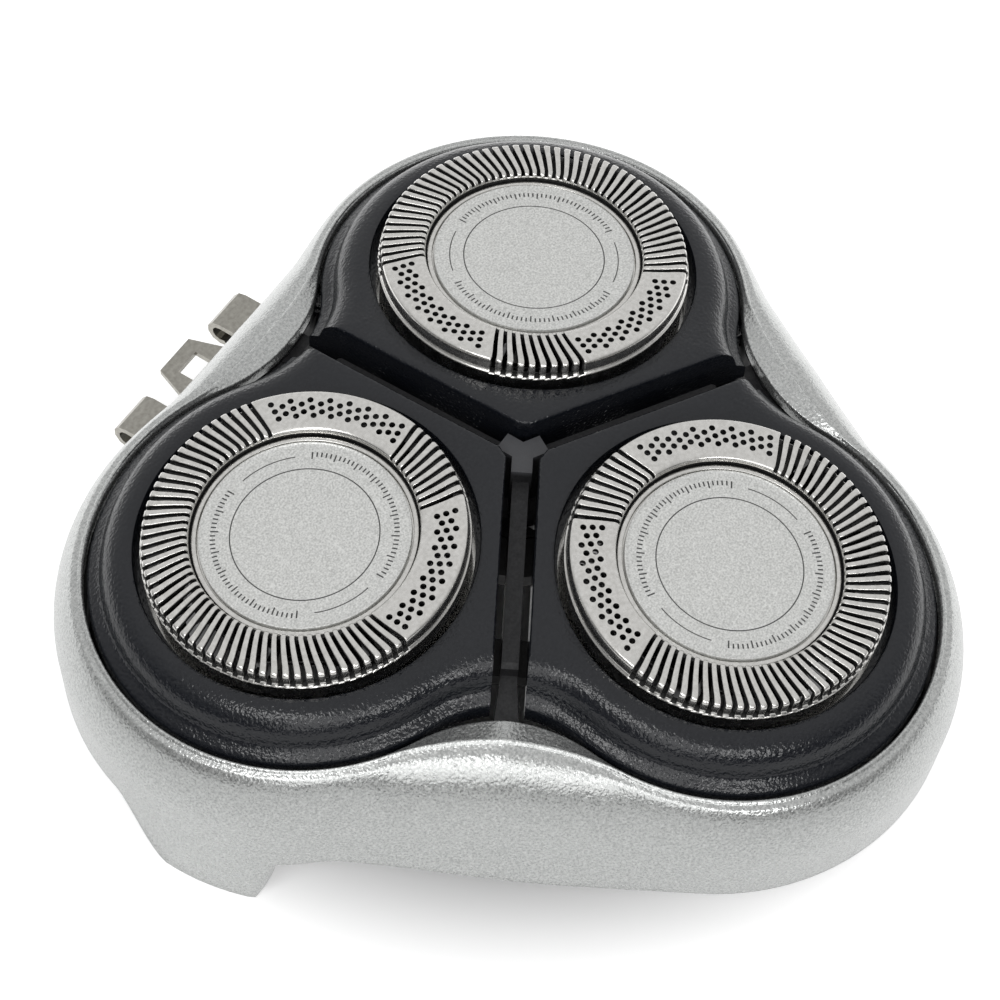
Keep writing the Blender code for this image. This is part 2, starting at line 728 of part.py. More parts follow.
def build_frame(parent, material):
    bm = ring_solid(even_turns(FRAME_COLUMNS, math.pi / 2), frame_section)
    frame = make_object("inner_frame", bm, parent, material, smooth_angle=40)
    for index, bearing in enumerate(even_turns(3, math.radians(90))):
        join(frame, land_shape(bearing), f"land_{index}")
        join(frame, bridge_shape(bearing), f"bridge_{index}")
    join(frame, ribs_shape(), "ribs")
    join(frame, turned(post_profile(), POST_SIDES), "post")
    key_low = key_top() - KEY_THICKNESS
    key = box((-KEY_LENGTH / 2, KEY_LENGTH / 2), (-KEY_WIDTH / 2, KEY_WIDTH / 2), (key_low, key_top()))
    join(frame, key, "key")
    lug_y = (LUG_ROOT, LUG_ROOT + LUG_LENGTH)
    join(frame, box((-LUG_WIDTH / 2, LUG_WIDTH / 2), lug_y, (lug_low(), lug_low() + LUG_HEIGHT)), "hinge_lug")
    join(frame, catch_shape(), "front_catch")
    for name, direction in HEADS.items():
        for side in (-1, 1):
            start, end = side * (OPENING_RADIUS - FRAME_WALL), side * (OPENING_RADIUS + 2 * FRAME_WALL)
            hole = crosswise_cylinder(TRUNNION_RADIUS + REST_GAP, start, end)
            cut(frame, swing(hole, turn_z(direction)), f"bearing_{name}_{'low' if side < 0 else 'high'}")
    pilot_end = lug_low() + SCREW_LENGTH + 2 * REST_GAP
    for side in (-1, 1):
        profile = hole_profile(SCREW_RADIUS + REST_GAP, lug_low() - MM, pilot_end)
        cut(frame, turned(profile, DRILL_SIDES, screw_axis(side)), f"pilot_{'left' if side < 0 else 'right'}")
    return frame


# Petals

def petal_outline(inset, flank_inset):
    """Plan outline of one petal in its lobe's frame, as (reach, angle off the lobe's axis)."""
    flank = GROOVE_HALF + flank_inset
    corner = THIRD / 2
    for _ in range(12):
        reach = lobed_radius(corner, PETAL_RADIUS - inset, PETAL_WAIST - inset)
        corner = THIRD / 2 - math.asin(flank / reach)
    points = []
    for index in range(PETAL_COLUMNS):
        off = corner * (2 * index / (PETAL_COLUMNS - 1) - 1)
        points.append((lobed_radius(off, PETAL_RADIUS - inset, PETAL_WAIST - inset), off))
    tip = (PETAL_TIP_WIDTH / 2 * math.cos(THIRD / 2) + flank) / math.sin(THIRD / 2)
    tip_off = math.atan2(PETAL_TIP_WIDTH / 2, tip)
    tip_reach = tip / math.cos(tip_off)
    return points + [(tip_reach, tip_off), (tip_reach, -tip_off)]


def petal_shape():
    """Loft of the petal, from its underside up over the lip and the rounded crown."""
    top = -PETAL_TOP
    levels = [
        (0.0, 0.0, -PETAL_BOTTOM),
        (0.0, 0.0, top + SIDE_DROP),
        (EDGE_ROUND, 0.0, top + LIP_DROP + LIP_SLOPE),
        (LIP_WIDTH, 0.0, top + LIP_DROP),
        *[(LIP_WIDTH + CROWN_WIDTH * inward, 0.0, top + LIP_DROP * down) for inward, down in CROWN_CURVE],
        (LIP_WIDTH + CROWN_WIDTH, FLANK_ROUND, top),
    ]
    bm = bmesh.new()
    loops = []
    for inset, flank_inset, depth in levels:
        points = []
        for reach, off in petal_outline(inset, flank_inset):
            points.append((reach * math.cos(off), reach * math.sin(off), head_plane(reach, off, depth)))
        loops.append(loop_of(bm, points))
    for lower, upper in zip(loops, loops[1:]):
        band(bm, lower, upper)
    bm.faces.new(list(reversed(loops[0])))
    bm.faces.new(loops[-1])
    return bm


def head_tilt_matrix():
    """Placing of the head's own frame inside its lobe's frame."""
    return Matrix.Translation((HEAD_SPACING, 0.0, HEAD_HEIGHT)) @ Matrix.Rotation(HEAD_TILT, 4, "Y")


def bore_profile():
    """Bore of a petal: wide round the guard's rim, then a guide close to its side wall."""
    low = -GUARD_DEPTH - MM
    guide = PETAL_TOP - GUIDE_DROP
    close = GUARD_RADIUS + REST_GAP
    return [(0.0, low), (close, low), (close, guide), (BORE_RADIUS, guide), (BORE_RADIUS, MM), (0.0, MM)]


def relief_shape():
    """Channel under the petal's outer side, a half ring a little below its crown."""
    middle = (BORE_RADIUS + PETAL_RADIUS) / 2
    near, far = middle - RELIEF_WIDTH / 2, middle + RELIEF_WIDTH / 2
    low, high = PETAL_BOTTOM - MM, PETAL_BOTTOM + RELIEF_DEPTH
    section = [(near, low), (far, low), (far, high), (near, high)]
    bm = bmesh.new()
    columns = []
    for index in range(RELIEF_COLUMNS):
        turn = RELIEF_SPAN * (index / (RELIEF_COLUMNS - 1) - 0.5)
        points = [(reach * math.cos(turn), reach * math.sin(turn), z) for reach, z in section]
        columns.append(loop_of(bm, points))
    for column, following in zip(columns, columns[1:]):
        band(bm, column, following)
    bm.faces.new(list(reversed(columns[0])))
    bm.faces.new(columns[-1])
    return bm


def build_petal(name, pivot, material):
    along, height = pivot_point()
    to_pivot = Matrix.Translation((-along, 0.0, -height))
    petal = make_object(f"petal_{name}", swing(petal_shape(), to_pivot), pivot, material, smooth_angle=50)
    cut(petal, swing(turned(bore_profile(), GUARD_SIDES), to_pivot @ head_tilt_matrix()), "bore")
    cut(petal, swing(relief_shape(), to_pivot @ head_tilt_matrix()), "relief")
    cheek_x = (along - CHEEK_WIDTH / 2, along + CHEEK_WIDTH / 2)
    cheek_z = (height - TRUNNION_RADIUS - REST_GAP, head_plane(along, 0.0, -PETAL_BOTTOM) + CHEEK_THICKNESS)
    for side, label in ((-1, "low"), (1, "high")):
        face = side * PETAL_RADIUS
        cheek_y = sorted((face - side * CHEEK_INSET, face - side * (CHEEK_THICKNESS + CHEEK_INSET)))
        join(petal, swing(box(cheek_x, cheek_y, cheek_z), to_pivot), f"cheek_{label}")
        root, end = face - side * CHEEK_THICKNESS / 2, face + side * TRUNNION_LENGTH
        stub = crosswise_cylinder(TRUNNION_RADIUS, root, end)
        join(petal, swing(stub, to_pivot), f"trunnion_{label}")
    return petal


# Guards and discs

def slot_numbers():
    """Pitches that carry a slot, counted from the side that faces the unit's middle."""
    half = INNER_SLOTS // 2
    outer = first_outer_slot()
    return list(range(-half, half + 1)) + list(range(outer, SLOT_PITCHES - outer + 1))


def first_outer_slot():
    return (SLOT_PITCHES - OUTER_SLOTS + 1) // 2


def guard_stops():
    """Bearings of the slot edges and plain stops round the guard, with what follows each."""
    pitch = math.tau / SLOT_PITCHES
    slots = slot_numbers()
    stops = []
    for number in slots:
        follows = "bar" if number + 1 in slots else "plate"
        stops.append((math.pi + (number - SLOT_SHARE / 2) * pitch, "slot"))
        stops.append((math.pi + (number + SLOT_SHARE / 2) * pitch, follows))
    half = INNER_SLOTS // 2
    plain = first_outer_slot() - half
    for first in (half, SLOT_PITCHES - half - plain):
        for quarter in (1, 2, 3):
            stops.append((math.pi + (first + quarter * plain / 4) * pitch, "plate"))
    return sorted(stops)


def hole_centres():
    """Bearing and radius of each hole of both fields."""
    pitch = math.tau / SLOT_PITCHES
    middle_turn = (INNER_SLOTS // 2 + first_outer_slot()) / 2 * pitch
    ring_outer = GUARD_RADIUS - SHOULDER_WIDTH
    slot_inner = RING_INNER_RADIUS + SLOT_MARGIN
    middle = (slot_inner + ring_outer) / 2
    centres = []
    for field in (-1, 1):
        for column in range(HOLE_COLUMNS):
            rows = HOLE_ROWS[column % 2]
            for row in range(rows):
                radius = middle + (row - (rows - 1) / 2) * HOLE_ROW_PITCH
                lean = SLOT_LEAN * (radius - slot_inner) / (ring_outer - slot_inner)
                turn = field * middle_turn + (column - (HOLE_COLUMNS - 1) / 2) * HOLE_COLUMN_PITCH
                centres.append((math.pi + turn + lean, radius))
    return centres


def perforated_plate(bm, corners, top, low):
    """Flat plate between two faces of given corner loops, drilled with the holes that lie inside it."""
    flat = [Vector((vert.co.x, vert.co.y)) for vert in corners[0]]
    span = [math.atan2(point.y, point.x) % math.tau for point in flat]
    holes = []
    for turn, radius in hole_centres():
        turn %= math.tau
        if min(span) < turn < max(span):
            holes.append(Vector((radius * math.cos(turn), radius * math.sin(turn))))
    points = list(flat)
    edges = [(index, (index + 1) % len(flat)) for index in range(len(flat))]
    for centre in holes:
        first = len(points)
        outward = math.atan2(centre.y, centre.x)
        for side in range(HOLE_SIDES):
            turn = outward + math.tau * side / HOLE_SIDES
            points.append(centre + HOLE_RADIUS * Vector((math.cos(turn), math.sin(turn))))
            edges.append((first + side, first + (side + 1) % HOLE_SIDES))
    found, _, faces, _, _, _ = delaunay_2d_cdt(points, edges, [], 1, 1e-9)
    upper = corners[0] + loop_of(bm, [(point.x, point.y, top) for point in points[len(flat):]])
    lower = corners[1] + loop_of(bm, [(point.x, point.y, low) for point in points[len(flat):]])
    for face in faces:
        middle = sum((found[index] for index in face), Vector((0.0, 0.0))) / len(face)
        if all((middle - centre).length > HOLE_RADIUS / 2 for centre in holes):
            bm.faces.new([upper[index] for index in face])
            bm.faces.new([lower[index] for index in reversed(face)])
    for index in range(len(holes)):
        first = len(flat) + index * HOLE_SIDES
        band(bm, upper[first:first + HOLE_SIDES], lower[first:first + HOLE_SIDES])


def guard_shape():
    """Deep-drawn steel cap: the slotted ring with its channel, the well, the side wall and the flange."""
    bm = bmesh.new()
    ring_outer = GUARD_RADIUS - SHOULDER_WIDTH
    slot_inner = RING_INNER_RADIUS + SLOT_MARGIN
    low = GUARD_TOP - GUARD_WALL
    slot_end = GUARD_TOP - SHOULDER_DROP
    inner_side = GUARD_RADIUS - GUARD_WALL
    stops = guard_stops()
    turns = [turn for turn, _ in stops]
    leaning = [turn + SLOT_LEAN for turn in turns]
    top_in = polar_loop(bm, slot_inner, GUARD_TOP, turns)
    top_out = polar_loop(bm, ring_outer, GUARD_TOP, leaning)
    side = polar_loop(bm, GUARD_RADIUS, slot_end, leaning)
    low_in = polar_loop(bm, slot_inner, low, turns)
    low_out = polar_loop(bm, ring_outer, low, leaning)
    low_side = polar_loop(bm, inner_side, slot_end, leaning)
    count = len(stops)
    for index in range(count):
        after = (index + 1) % count
        kind = stops[index][1]
        if kind == "slot":
            bm.faces.new((top_in[index], top_in[after], low_in[after], low_in[index]))
            bm.faces.new((side[index], side[after], low_side[after], low_side[index]))
            for edge in (index, after):
                bm.faces.new((top_in[edge], top_out[edge], low_out[edge], low_in[edge]))
                bm.faces.new((top_out[edge], side[edge], low_side[edge], low_out[edge]))
            continue
        bm.faces.new((top_out[index], top_out[after], side[after], side[index]))
        bm.faces.new((low_out[index], low_out[after], low_side[after], low_side[index]))
        if kind == "bar":
            bm.faces.new((top_in[index], top_in[after], top_out[after], top_out[index]))
            bm.faces.new((low_in[index], low_in[after], low_out[after], low_out[index]))
    for index in range(count):
        if stops[index][1] == "plate" and stops[index - 1][1] == "slot":
            run = [index]
            while stops[run[-1] % count][1] == "plate":
                run.append(run[-1] + 1)
            run = [number % count for number in run]
            upper = [top_in[number] for number in run] + [top_out[number] for number in reversed(run)]
            lower = [low_in[number] for number in run] + [low_out[number] for number in reversed(run)]
            perforated_plate(bm, (upper, lower), GUARD_TOP, low)
    coarse = even_turns(GUARD_SIDES)
    bottom = GUARD_TOP - GUARD_DEPTH
    floor = GUARD_TOP - WELL_DEPTH
    well = polar_loop(bm, WELL_RADIUS, floor, coarse)
    rim = polar_loop(bm, RING_INNER_RADIUS, GUARD_TOP, coarse)
    hidden = even_turns(FLANGE_SIDES)
    flange_root = polar_loop(bm, GUARD_RADIUS, bottom + FLANGE_THICKNESS, hidden)
    flange_top = polar_loop(bm, GUARD_RADIUS + FLANGE_REACH, bottom + FLANGE_THICKNESS, hidden)
    flange_low = polar_loop(bm, GUARD_RADIUS + FLANGE_REACH, bottom, hidden)
    skirt_low = polar_loop(bm, inner_side, bottom, hidden)
    channel = polar_loop(bm, RING_INNER_RADIUS + GUARD_WALL / 3, floor - GUARD_WALL, hidden)
    pin_root = polar_loop(bm, PIN_RADIUS, floor - GUARD_WALL, even_turns(PIN_SIDES))
    pin_end = polar_loop(bm, PIN_RADIUS, floor - GUARD_WALL - PIN_LENGTH, even_turns(PIN_SIDES))
    bm.faces.new(well)
    band(bm, well, rim)
    stitch(bm, top_in, rim)
    stitch(bm, side, flange_root)
    band(bm, flange_root, flange_top)
    band(bm, flange_top, flange_low)
    band(bm, flange_low, skirt_low)
    stitch(bm, low_side, skirt_low)
    stitch(bm, low_in, channel)
    stitch(bm, channel, pin_root)
    band(bm, pin_root, pin_end)
    bm.faces.new(pin_end)
    return bm


def disc_shape():
    low = GUARD_TOP - WELL_DEPTH + REST_GAP
    radius = WELL_RADIUS - REST_GAP
    high = low + DISC_THICKNESS
    edge = DISC_THICKNESS / 3
    profile = [(0.0, low), (radius, low), (radius, high - edge), (radius - edge, high), (0.0, high)]
    return turned(profile, GUARD_SIDES)


# Cutters

def blade_top():
    return GUARD_TOP - GUARD_WALL - CUTTING_GAP


def stamped_ring(inner, root, tip, thickness, foot, tooth_width, height, rake):
    """Flat ring, cut from sheet, whose teeth are bent up into raked blades or fingers."""
    bm = bmesh.new()
    corners = {"low_root": (root, 0.0), "top_root": (root, thickness), "low_tip": (tip, 0.0),
               "crown_root": (root, height), "crown_tip": (tip, height)}
    teeth = {corner: [] for corner in corners}
    for turn in even_turns(BLADE_COUNT):
        matrix = turn_z(turn)
        for side in (-tooth_width / 2, tooth_width / 2):
            for corner, (reach, rise) in corners.items():
                point = Vector((reach, side + rise * math.tan(rake), foot + rise))
                teeth[corner].append(bm.verts.new(matrix @ point))
    low_bore = polar_loop(bm, inner, foot, even_turns(2 * BLADE_COUNT))
    top_bore = polar_loop(bm, inner, foot + thickness, even_turns(2 * BLADE_COUNT))
    band(bm, low_bore, top_bore)
    stitch(bm, teeth["low_root"], low_bore)
    stitch(bm, teeth["top_root"], top_bore)
    for near in range(0, 2 * BLADE_COUNT, 2):
        far, onward = near + 1, (near + 2) % (2 * BLADE_COUNT)
        for first, second in (("low_root", "low_tip"), ("low_tip", "crown_tip"), ("crown_tip", "crown_root"),
                              ("crown_root", "top_root")):
            bm.faces.new((teeth[first][near], teeth[second][near], teeth[second][far], teeth[first][far]))
        bm.faces.new([teeth[corner][index] for corner, index in (
            ("low_root", far), ("low_root", onward), ("top_root", onward), ("top_root", far))])
        for side in (near, far):
            bm.faces.new([teeth[corner][side] for corner in (
                "low_root", "low_tip", "crown_tip", "crown_root", "top_root")])
    return bm


def blade_foot():
    return blade_top() - BLADE_HEIGHT


def lifter_reach():
    return RING_INNER_RADIUS + SLOT_MARGIN + CUTTING_GAP


def blade_root():
    return lifter_reach() + REST_GAP


def blade_bore():
    return blade_root() - BLADE_PLATE_WIDTH


def blade_ring_shape():
    root = blade_root()
    tip = GUARD_RADIUS - GUARD_WALL - 2 * CUTTING_GAP
    return stamped_ring(blade_bore(), root, tip, BLADE_PLATE_THICKNESS, blade_foot(), BLADE_THICKNESS,
                        BLADE_HEIGHT, BLADE_RAKE)


def lifter_ring_shape():
    """Thin ring above the blades' plate, turned ahead so that a finger stands before each blade."""
    foot = blade_foot() + BLADE_PLATE_THICKNESS + REST_GAP
    root = lifter_reach()
    tip = GUARD_RADIUS - GUARD_WALL - 3 * CUTTING_GAP
    bm = stamped_ring(root - LIFTER_WIDTH, root, tip, LIFTER_THICKNESS, foot, LIFTER_THICKNESS,
                      blade_top() - LIFTER_SHORTFALL - foot, BLADE_RAKE)
    return swing(bm, turn_z(LIFTER_LEAD))


def hub_profile():
    """Cutter hub: the bore over the guard's pin, the web under the blades and the drive socket."""
    bore = PIN_RADIUS + REST_GAP
    top = GUARD_TOP - WELL_DEPTH - GUARD_WALL - REST_GAP
    bore_end = GUARD_TOP - WELL_DEPTH - GUARD_WALL - PIN_LENGTH - REST_GAP
    web_top = blade_foot() - REST_GAP
    web_low = web_top - HUB_WEB_THICKNESS
    low = web_low - SOCKET_LENGTH
    web = blade_bore() + HUB_WEB_LAP
    return [(0.0, bore_end), (bore, bore_end), (bore, top), (HUB_RADIUS, top), (HUB_RADIUS, web_top),
            (web, web_top), (web, web_low), (SOCKET_RADIUS, web_low), (SOCKET_RADIUS, low), (0.0, low)]


def build_cutter(name, axis, materials):
    make_object(f"cutter_blades_{name}", blade_ring_shape(), axis, materials["blade"], 30)
    make_object(f"cutter_lifter_{name}", lifter_ring_shape(), axis, materials["lifter"], 30)
    profile = hub_profile()
    hub = make_object(f"cutter_hub_{name}", turned(profile, HUB_SIDES), axis, materials["hub"], 40)
    length, width, depth = SOCKET_SLOT
    low = profile[-1][1]
    socket = box((-length / 2, length / 2), (-width / 2, width / 2), (low - MM, low + depth))
    cut(hub, socket, "drive_socket")


# Retaining frame and lock

def retainer_ring(direction):
    """One ring of the retaining frame, square to its head's axis."""
    inner, outer = RETAINER_RADIUS - RETAINER_WIDTH, RETAINER_RADIUS
    low, high = -RETAINER_DROP - RETAINER_THICKNESS, -RETAINER_DROP
    ring = turned([(inner, low), (outer, low), (outer, high), (inner, high)], RETAINER_SIDES)
    return swing(ring, turn_z(direction) @ head_tilt_matrix())


def build_retainer(parent, material):
    top = RETAINER_PLATE
    low = top - RETAINER_THICKNESS
    hub_hole = POST_RADIUS + WHEEL_COLLAR + 2 * REST_GAP
    plate = turned([(hub_hole, low), (RETAINER_HUB, low), (RETAINER_HUB, top), (hub_hole, top)], WHEEL_SIDES)
    retainer = make_object("retaining_frame", plate, parent, material, 40)
    for name, direction in HEADS.items():
        join(retainer, retainer_ring(direction), f"ring_{name}")
    reach = HEAD_SPACING * math.cos(THIRD / 2) + TIE_OFFSET
    half = HEAD_SPACING * math.sin(THIRD / 2) - RETAINER_RADIUS + RETAINER_WIDTH / 2
    tie_top = head_plane(reach, THIRD / 2, RETAINER_DROP) - TIE_SINK
    for index in range(3):
        tie = box((reach, reach + TIE_WIDTH), (-half, half), (tie_top - RETAINER_THICKNESS, tie_top))
        join(retainer, swing(tie, turn_z(math.radians(90) + THIRD * index)), f"tie_{index}")
    return retainer


def build_lock_wheel(parent, material):
    top = wheel_top()
    low = top - WHEEL_THICKNESS
    bore = POST_RADIUS + REST_GAP
    collar = bore + WHEEL_COLLAR
    collar_top = top + RETAINER_THICKNESS
    profile = [(bore, low), (WHEEL_RADIUS, low), (WHEEL_RADIUS, top), (collar, top), (collar, collar_top),
               (bore, collar_top)]
    wheel = make_object("lock_wheel", turned(profile, WHEEL_SIDES), parent, material, 40)
    half_length = KEY_LENGTH / 2 + REST_GAP
    half_width = KEY_WIDTH / 2 + REST_GAP
    slot = box((-half_width, half_width), (-half_length, half_length), (low - MM, collar_top + MM))
    cut(wheel, slot, "key_slot")
    notches = []
    reach = WHEEL_RADIUS + NOTCH_BEYOND_RIM
    for turn in even_turns(WHEEL_NOTCHES, math.tau / WHEEL_NOTCHES / 2):
        centre = (reach * math.cos(turn), reach * math.sin(turn))
        notches.append(turned(hole_profile(NOTCH_RADIUS, low - MM, top + MM), NOTCH_SIDES, centre))
    cut(wheel, merge_shapes(notches), "finger_notches")
    return wheel


# Hinge clip and screws

def clip_top():
    return lug_low() - REST_GAP


def hook_shape(side):
    """Flat finger that curls down and back at its end."""
    top = clip_top()
    low = top - CLIP_THICKNESS
    root = CLIP_REACH - CLIP_BASE
    centre = Vector((CLIP_REACH - HOOK_RADIUS, top - HOOK_RADIUS))
    turns = [math.pi / 2 - HOOK_TURN * index / HOOK_STEPS for index in range(HOOK_STEPS + 1)]
    spokes = [Vector((math.cos(turn), math.sin(turn))) for turn in turns]
    outside = [centre + HOOK_RADIUS * spoke for spoke in spokes]
    inside = [centre + (HOOK_RADIUS - CLIP_THICKNESS) * spoke for spoke in reversed(spokes)]
    outline = [(root, top)] + outside + inside + [(root, low)]
    return upright(prism(outline, side * HOOK_SPACING - HOOK_WIDTH / 2, side * HOOK_SPACING + HOOK_WIDTH / 2))


def build_clip(parent, material):
    top = clip_top()
    low = top - CLIP_THICKNESS
    start = NECK_WAIST + 2 * REST_GAP
    shoulder = CLIP_REACH - CLIP_BASE + CLIP_SHOULDER
    half = CLIP_WIDTH / 2
    strip = box((-half, half), (start, shoulder), (low, top))
    clip = make_object("hinge_clip", strip, parent, material, 40)
    right = [(TAB_ROOT / 2, shoulder - MM), (TAB_ROOT / 2, shoulder + MM), (TAB_TIP / 2, CLIP_REACH)]
    left = [(-x, y) for x, y in reversed(right)]
    join(clip, prism(right + left, low, top), "tab")
    join(clip, merge_shapes([hook_shape(-1), hook_shape(1)]), "hooks")
    hole_end = CLIP_REACH - TAB_BRIDGE
    hole = box((-TAB_HOLE / 2, TAB_HOLE / 2), (hole_end - TAB_HOLE, hole_end), (low - MM, top + MM))
    cut(clip, hole, "tab_hole")
    drills = []
    for side in (-1, 1):
        profile = hole_profile(SCREW_RADIUS + REST_GAP, low - MM, top + MM)
        drills.append(turned(profile, DRILL_SIDES, screw_axis(side)))
    cut(clip, merge_shapes(drills), "screw_holes")
    return clip


def build_screw(side, parent, material):
    seat = clip_top() - CLIP_THICKNESS - REST_GAP
    tip = lug_low() + SCREW_LENGTH
    low = seat - SCREW_HEAD_HEIGHT
    profile = [(0.0, low), (SCREW_HEAD_TOP, low), (SCREW_HEAD_RADIUS, seat), (SCREW_RADIUS, seat),
               (SCREW_RADIUS, tip), (0.0, tip)]
    label = "left" if side < 0 else "right"
    screw = make_object(f"clip_screw_{label}", turned(profile, SCREW_SIDES), parent, material, 40)
    x, y = screw_axis(side)
    screw.location = (x, y, 0.0)
    slot_x, slot_y = (-2 * SCREW_HEAD_RADIUS, 2 * SCREW_HEAD_RADIUS), (-SCREW_SLOT / 2, SCREW_SLOT / 2)
    slot = box(slot_x, slot_y, (low - MM, low + SCREW_SLOT))
    cut(screw, slot, "driver_slot")
    return screw


def build_head(name, direction, unit, materials):
    """Petal on its trunnion axis, and the guard, disc and cutter on the head's own axis."""
    along, height = pivot_point()
    place = (along * math.cos(direction), along * math.sin(direction), height)
    pivot = make_empty(f"petal_pivot_{name}", place, (0.0, 0.0, direction), unit)
    centre = (PIVOT_DROP * math.sin(HEAD_TILT), 0.0, PIVOT_DROP * math.cos(HEAD_TILT))
    axis = make_empty(f"head_axis_{name}", centre, (0.0, HEAD_TILT, 0.0), pivot)
    build_petal(name, pivot, materials["petal"])
    make_object(f"guard_{name}", guard_shape(), axis, materials["guard"], 30)
    make_object(f"guard_disc_{name}", disc_shape(), axis, materials["disc"], 30)
    build_cutter(name, axis, materials)


def main():
    clear_scene()
    materials = {
        "shell": make_material("satin_silver_paint", (0.62, 0.63, 0.63), 0.38, 0.7),
        "frame": make_material("textured_black_plastic", (0.025, 0.025, 0.028), 0.6, 0.0),
        "petal": make_material("satin_black_plastic", (0.02, 0.021, 0.024), 0.35, 0.0),
        "guard": make_material("polished_steel", (0.66, 0.64, 0.61), 0.18, 1.0),
        "disc": make_material("satin_disc", (0.68, 0.7, 0.68), 0.42, 0.8),
        "blade": make_material("ground_steel", (0.6, 0.6, 0.61), 0.25, 1.0),
        "lifter": make_material("spring_steel", (0.5, 0.49, 0.47), 0.3, 1.0),
        "hub": make_material("white_acetal", (0.75, 0.75, 0.72), 0.45, 0.0),
        "retainer": make_material("grey_plastic", (0.16, 0.165, 0.17), 0.5, 0.0),
        "lock": make_material("light_grey_plastic", (0.35, 0.36, 0.37), 0.5, 0.0),
        "clip": make_material("stainless_clip", (0.55, 0.53, 0.48), 0.32, 1.0),
        "screw": make_material("zinc_plated_steel", (0.6, 0.6, 0.6), 0.35, 1.0),
    }
    unit = make_empty("unit_axis", (0.0, AXIS_Y, 0.0))
    build_shell(unit, materials["shell"])
    build_frame(unit, materials["frame"])
    for name, direction in HEADS.items():
        build_head(name, direction, unit, materials)
    build_retainer(unit, materials["retainer"])
    build_lock_wheel(unit, materials["lock"])
    build_clip(unit, materials["clip"])
    for side in (-1, 1):
        build_screw(side, unit, materials["screw"])


main()
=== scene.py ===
"""Looks of the three-head rotary shaving unit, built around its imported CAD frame.

Lengths are named in millimetres times MM, so every value is in metres, in the frame of the CAD model.
Shapes of the whole unit are worked out around the middle axis, with X towards a head, and then turned
to that head's direction. Shapes of a head lie in the head's own frame, whose Z is the cutter's axis.
"""

import math

import bmesh
import bpy
from mathutils import Matrix, Vector
from mathutils.geometry import delaunay_2d_cdt


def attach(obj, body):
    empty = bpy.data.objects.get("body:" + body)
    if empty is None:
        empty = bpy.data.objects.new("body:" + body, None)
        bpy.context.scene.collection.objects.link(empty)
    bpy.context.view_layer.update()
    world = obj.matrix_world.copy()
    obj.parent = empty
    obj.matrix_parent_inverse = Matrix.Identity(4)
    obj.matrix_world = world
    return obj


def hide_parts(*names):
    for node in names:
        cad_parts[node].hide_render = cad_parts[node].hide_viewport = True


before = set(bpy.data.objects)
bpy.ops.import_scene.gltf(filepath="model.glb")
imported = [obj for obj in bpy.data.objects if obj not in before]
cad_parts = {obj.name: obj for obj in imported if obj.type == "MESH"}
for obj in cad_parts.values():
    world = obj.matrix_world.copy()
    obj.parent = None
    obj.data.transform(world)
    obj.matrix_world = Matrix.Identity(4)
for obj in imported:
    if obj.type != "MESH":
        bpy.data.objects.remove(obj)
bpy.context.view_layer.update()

MM = 0.001
THIRD = math.radians(120)
LOBE_DIRECTION = math.radians(30)
HEADS = {"front": math.radians(270), "right": math.radians(30), "left": math.radians(150)}

# Heads and outlines, as in the CAD model
GUARD_RADIUS = 11.45 * MM
NEIGHBOUR_GAP = 6.84 * MM
HEAD_SPACING = (2 * GUARD_RADIUS + NEIGHBOUR_GAP) / math.sqrt(3)
HEAD_TILT = math.radians(6.1)
HEAD_HEIGHT = 21.7 * MM
GUARD_TOP = 0.55 * MM
PETAL_TOP = -1.1 * MM
SIDE_DROP = 2.95 * MM
LOBE_SPACING = HEAD_SPACING - (SIDE_DROP - PETAL_TOP) * math.tan(HEAD_TILT)
BELT_RADIUS = 18.6 * MM
CLIP_REACH = 31.6 * MM
AXIS_Y = (LOBE_SPACING + BELT_RADIUS - CLIP_REACH) / 2
PETAL_RADIUS = 15.85 * MM
PETAL_WAIST = 19.4 * MM
PETAL_BOTTOM = -5.3 * MM
PETAL_TIP_WIDTH = 0.9 * MM
GROOVE_HALF = 1.2 * MM
BORE_RADIUS = 12.2 * MM
GUIDE_RADIUS = 11.75 * MM
GUIDE_TOP = PETAL_TOP - 2.0 * MM
OPENING_RADIUS = 16.15 * MM
OPENING_WAIST = 20.4 * MM
PIVOT_DROP = 6.9 * MM

# Shell; its skin lies SKIN inside the CAD model's belt, and its edges are (out, up) in millimetres
LIP_THICKNESS = 1.1 * MM
CREST_WIDTH = 0.4 * MM
CREST_WAIST = 22.0 * MM
CREST_RISE = 0.1 * MM
SHELL_WALL = 1.3 * MM
FLANK_WALL = 1.0 * MM
BELT_WAIST = 26.3 * MM
BELT_HEIGHT = 11.2 * MM
SKIRT_RADIUS = 18.4 * MM
SKIRT_WAIST = 26.9 * MM
SKIRT_HEIGHT = 6.2 * MM
SKIRT_WAVE = 1.4 * MM
EAR_START = math.radians(158)
EAR_END = math.radians(180)
EAR_RAMP = math.radians(8)
EAR_FALL = math.radians(3)
WAVE_FALL = math.radians(32)
NOTCH_HALF_ANGLE = math.radians(19)
NOTCH_HEIGHT = 8.3 * MM
FRAME_WALL = 1.2 * MM
SKIN = 0.04 * MM
SKIRT_LIFT = SKIN / 4
CREST_BEAD = ((-0.09, 0.05), (-0.02, 0.1), (0.05, 0.1), (0.13, 0.05), (0.24, -0.05), (0.29, -0.1))
CREST_SHIFT = 0.25 * MM
FLANK_POINTS = 16
LIP_EDGE = ((0.0, -0.14), (0.04, -0.04), (0.14, 0.0))
LIP_LAND = 0.6 * MM
SKIRT_SHARES = (0.25, 0.5, 0.75)
SKIRT_EDGE = ((0.0, 0.25), (-0.07, 0.07), (-0.25, 0.0))
INNER_EDGE = ((0.15, 0.0), (0.0, 0.15))
FLANK_NORMAL = (0.8, 0.6)
LOBE_STRAIGHTNESS = 0.3
SHELL_COLUMNS = 400

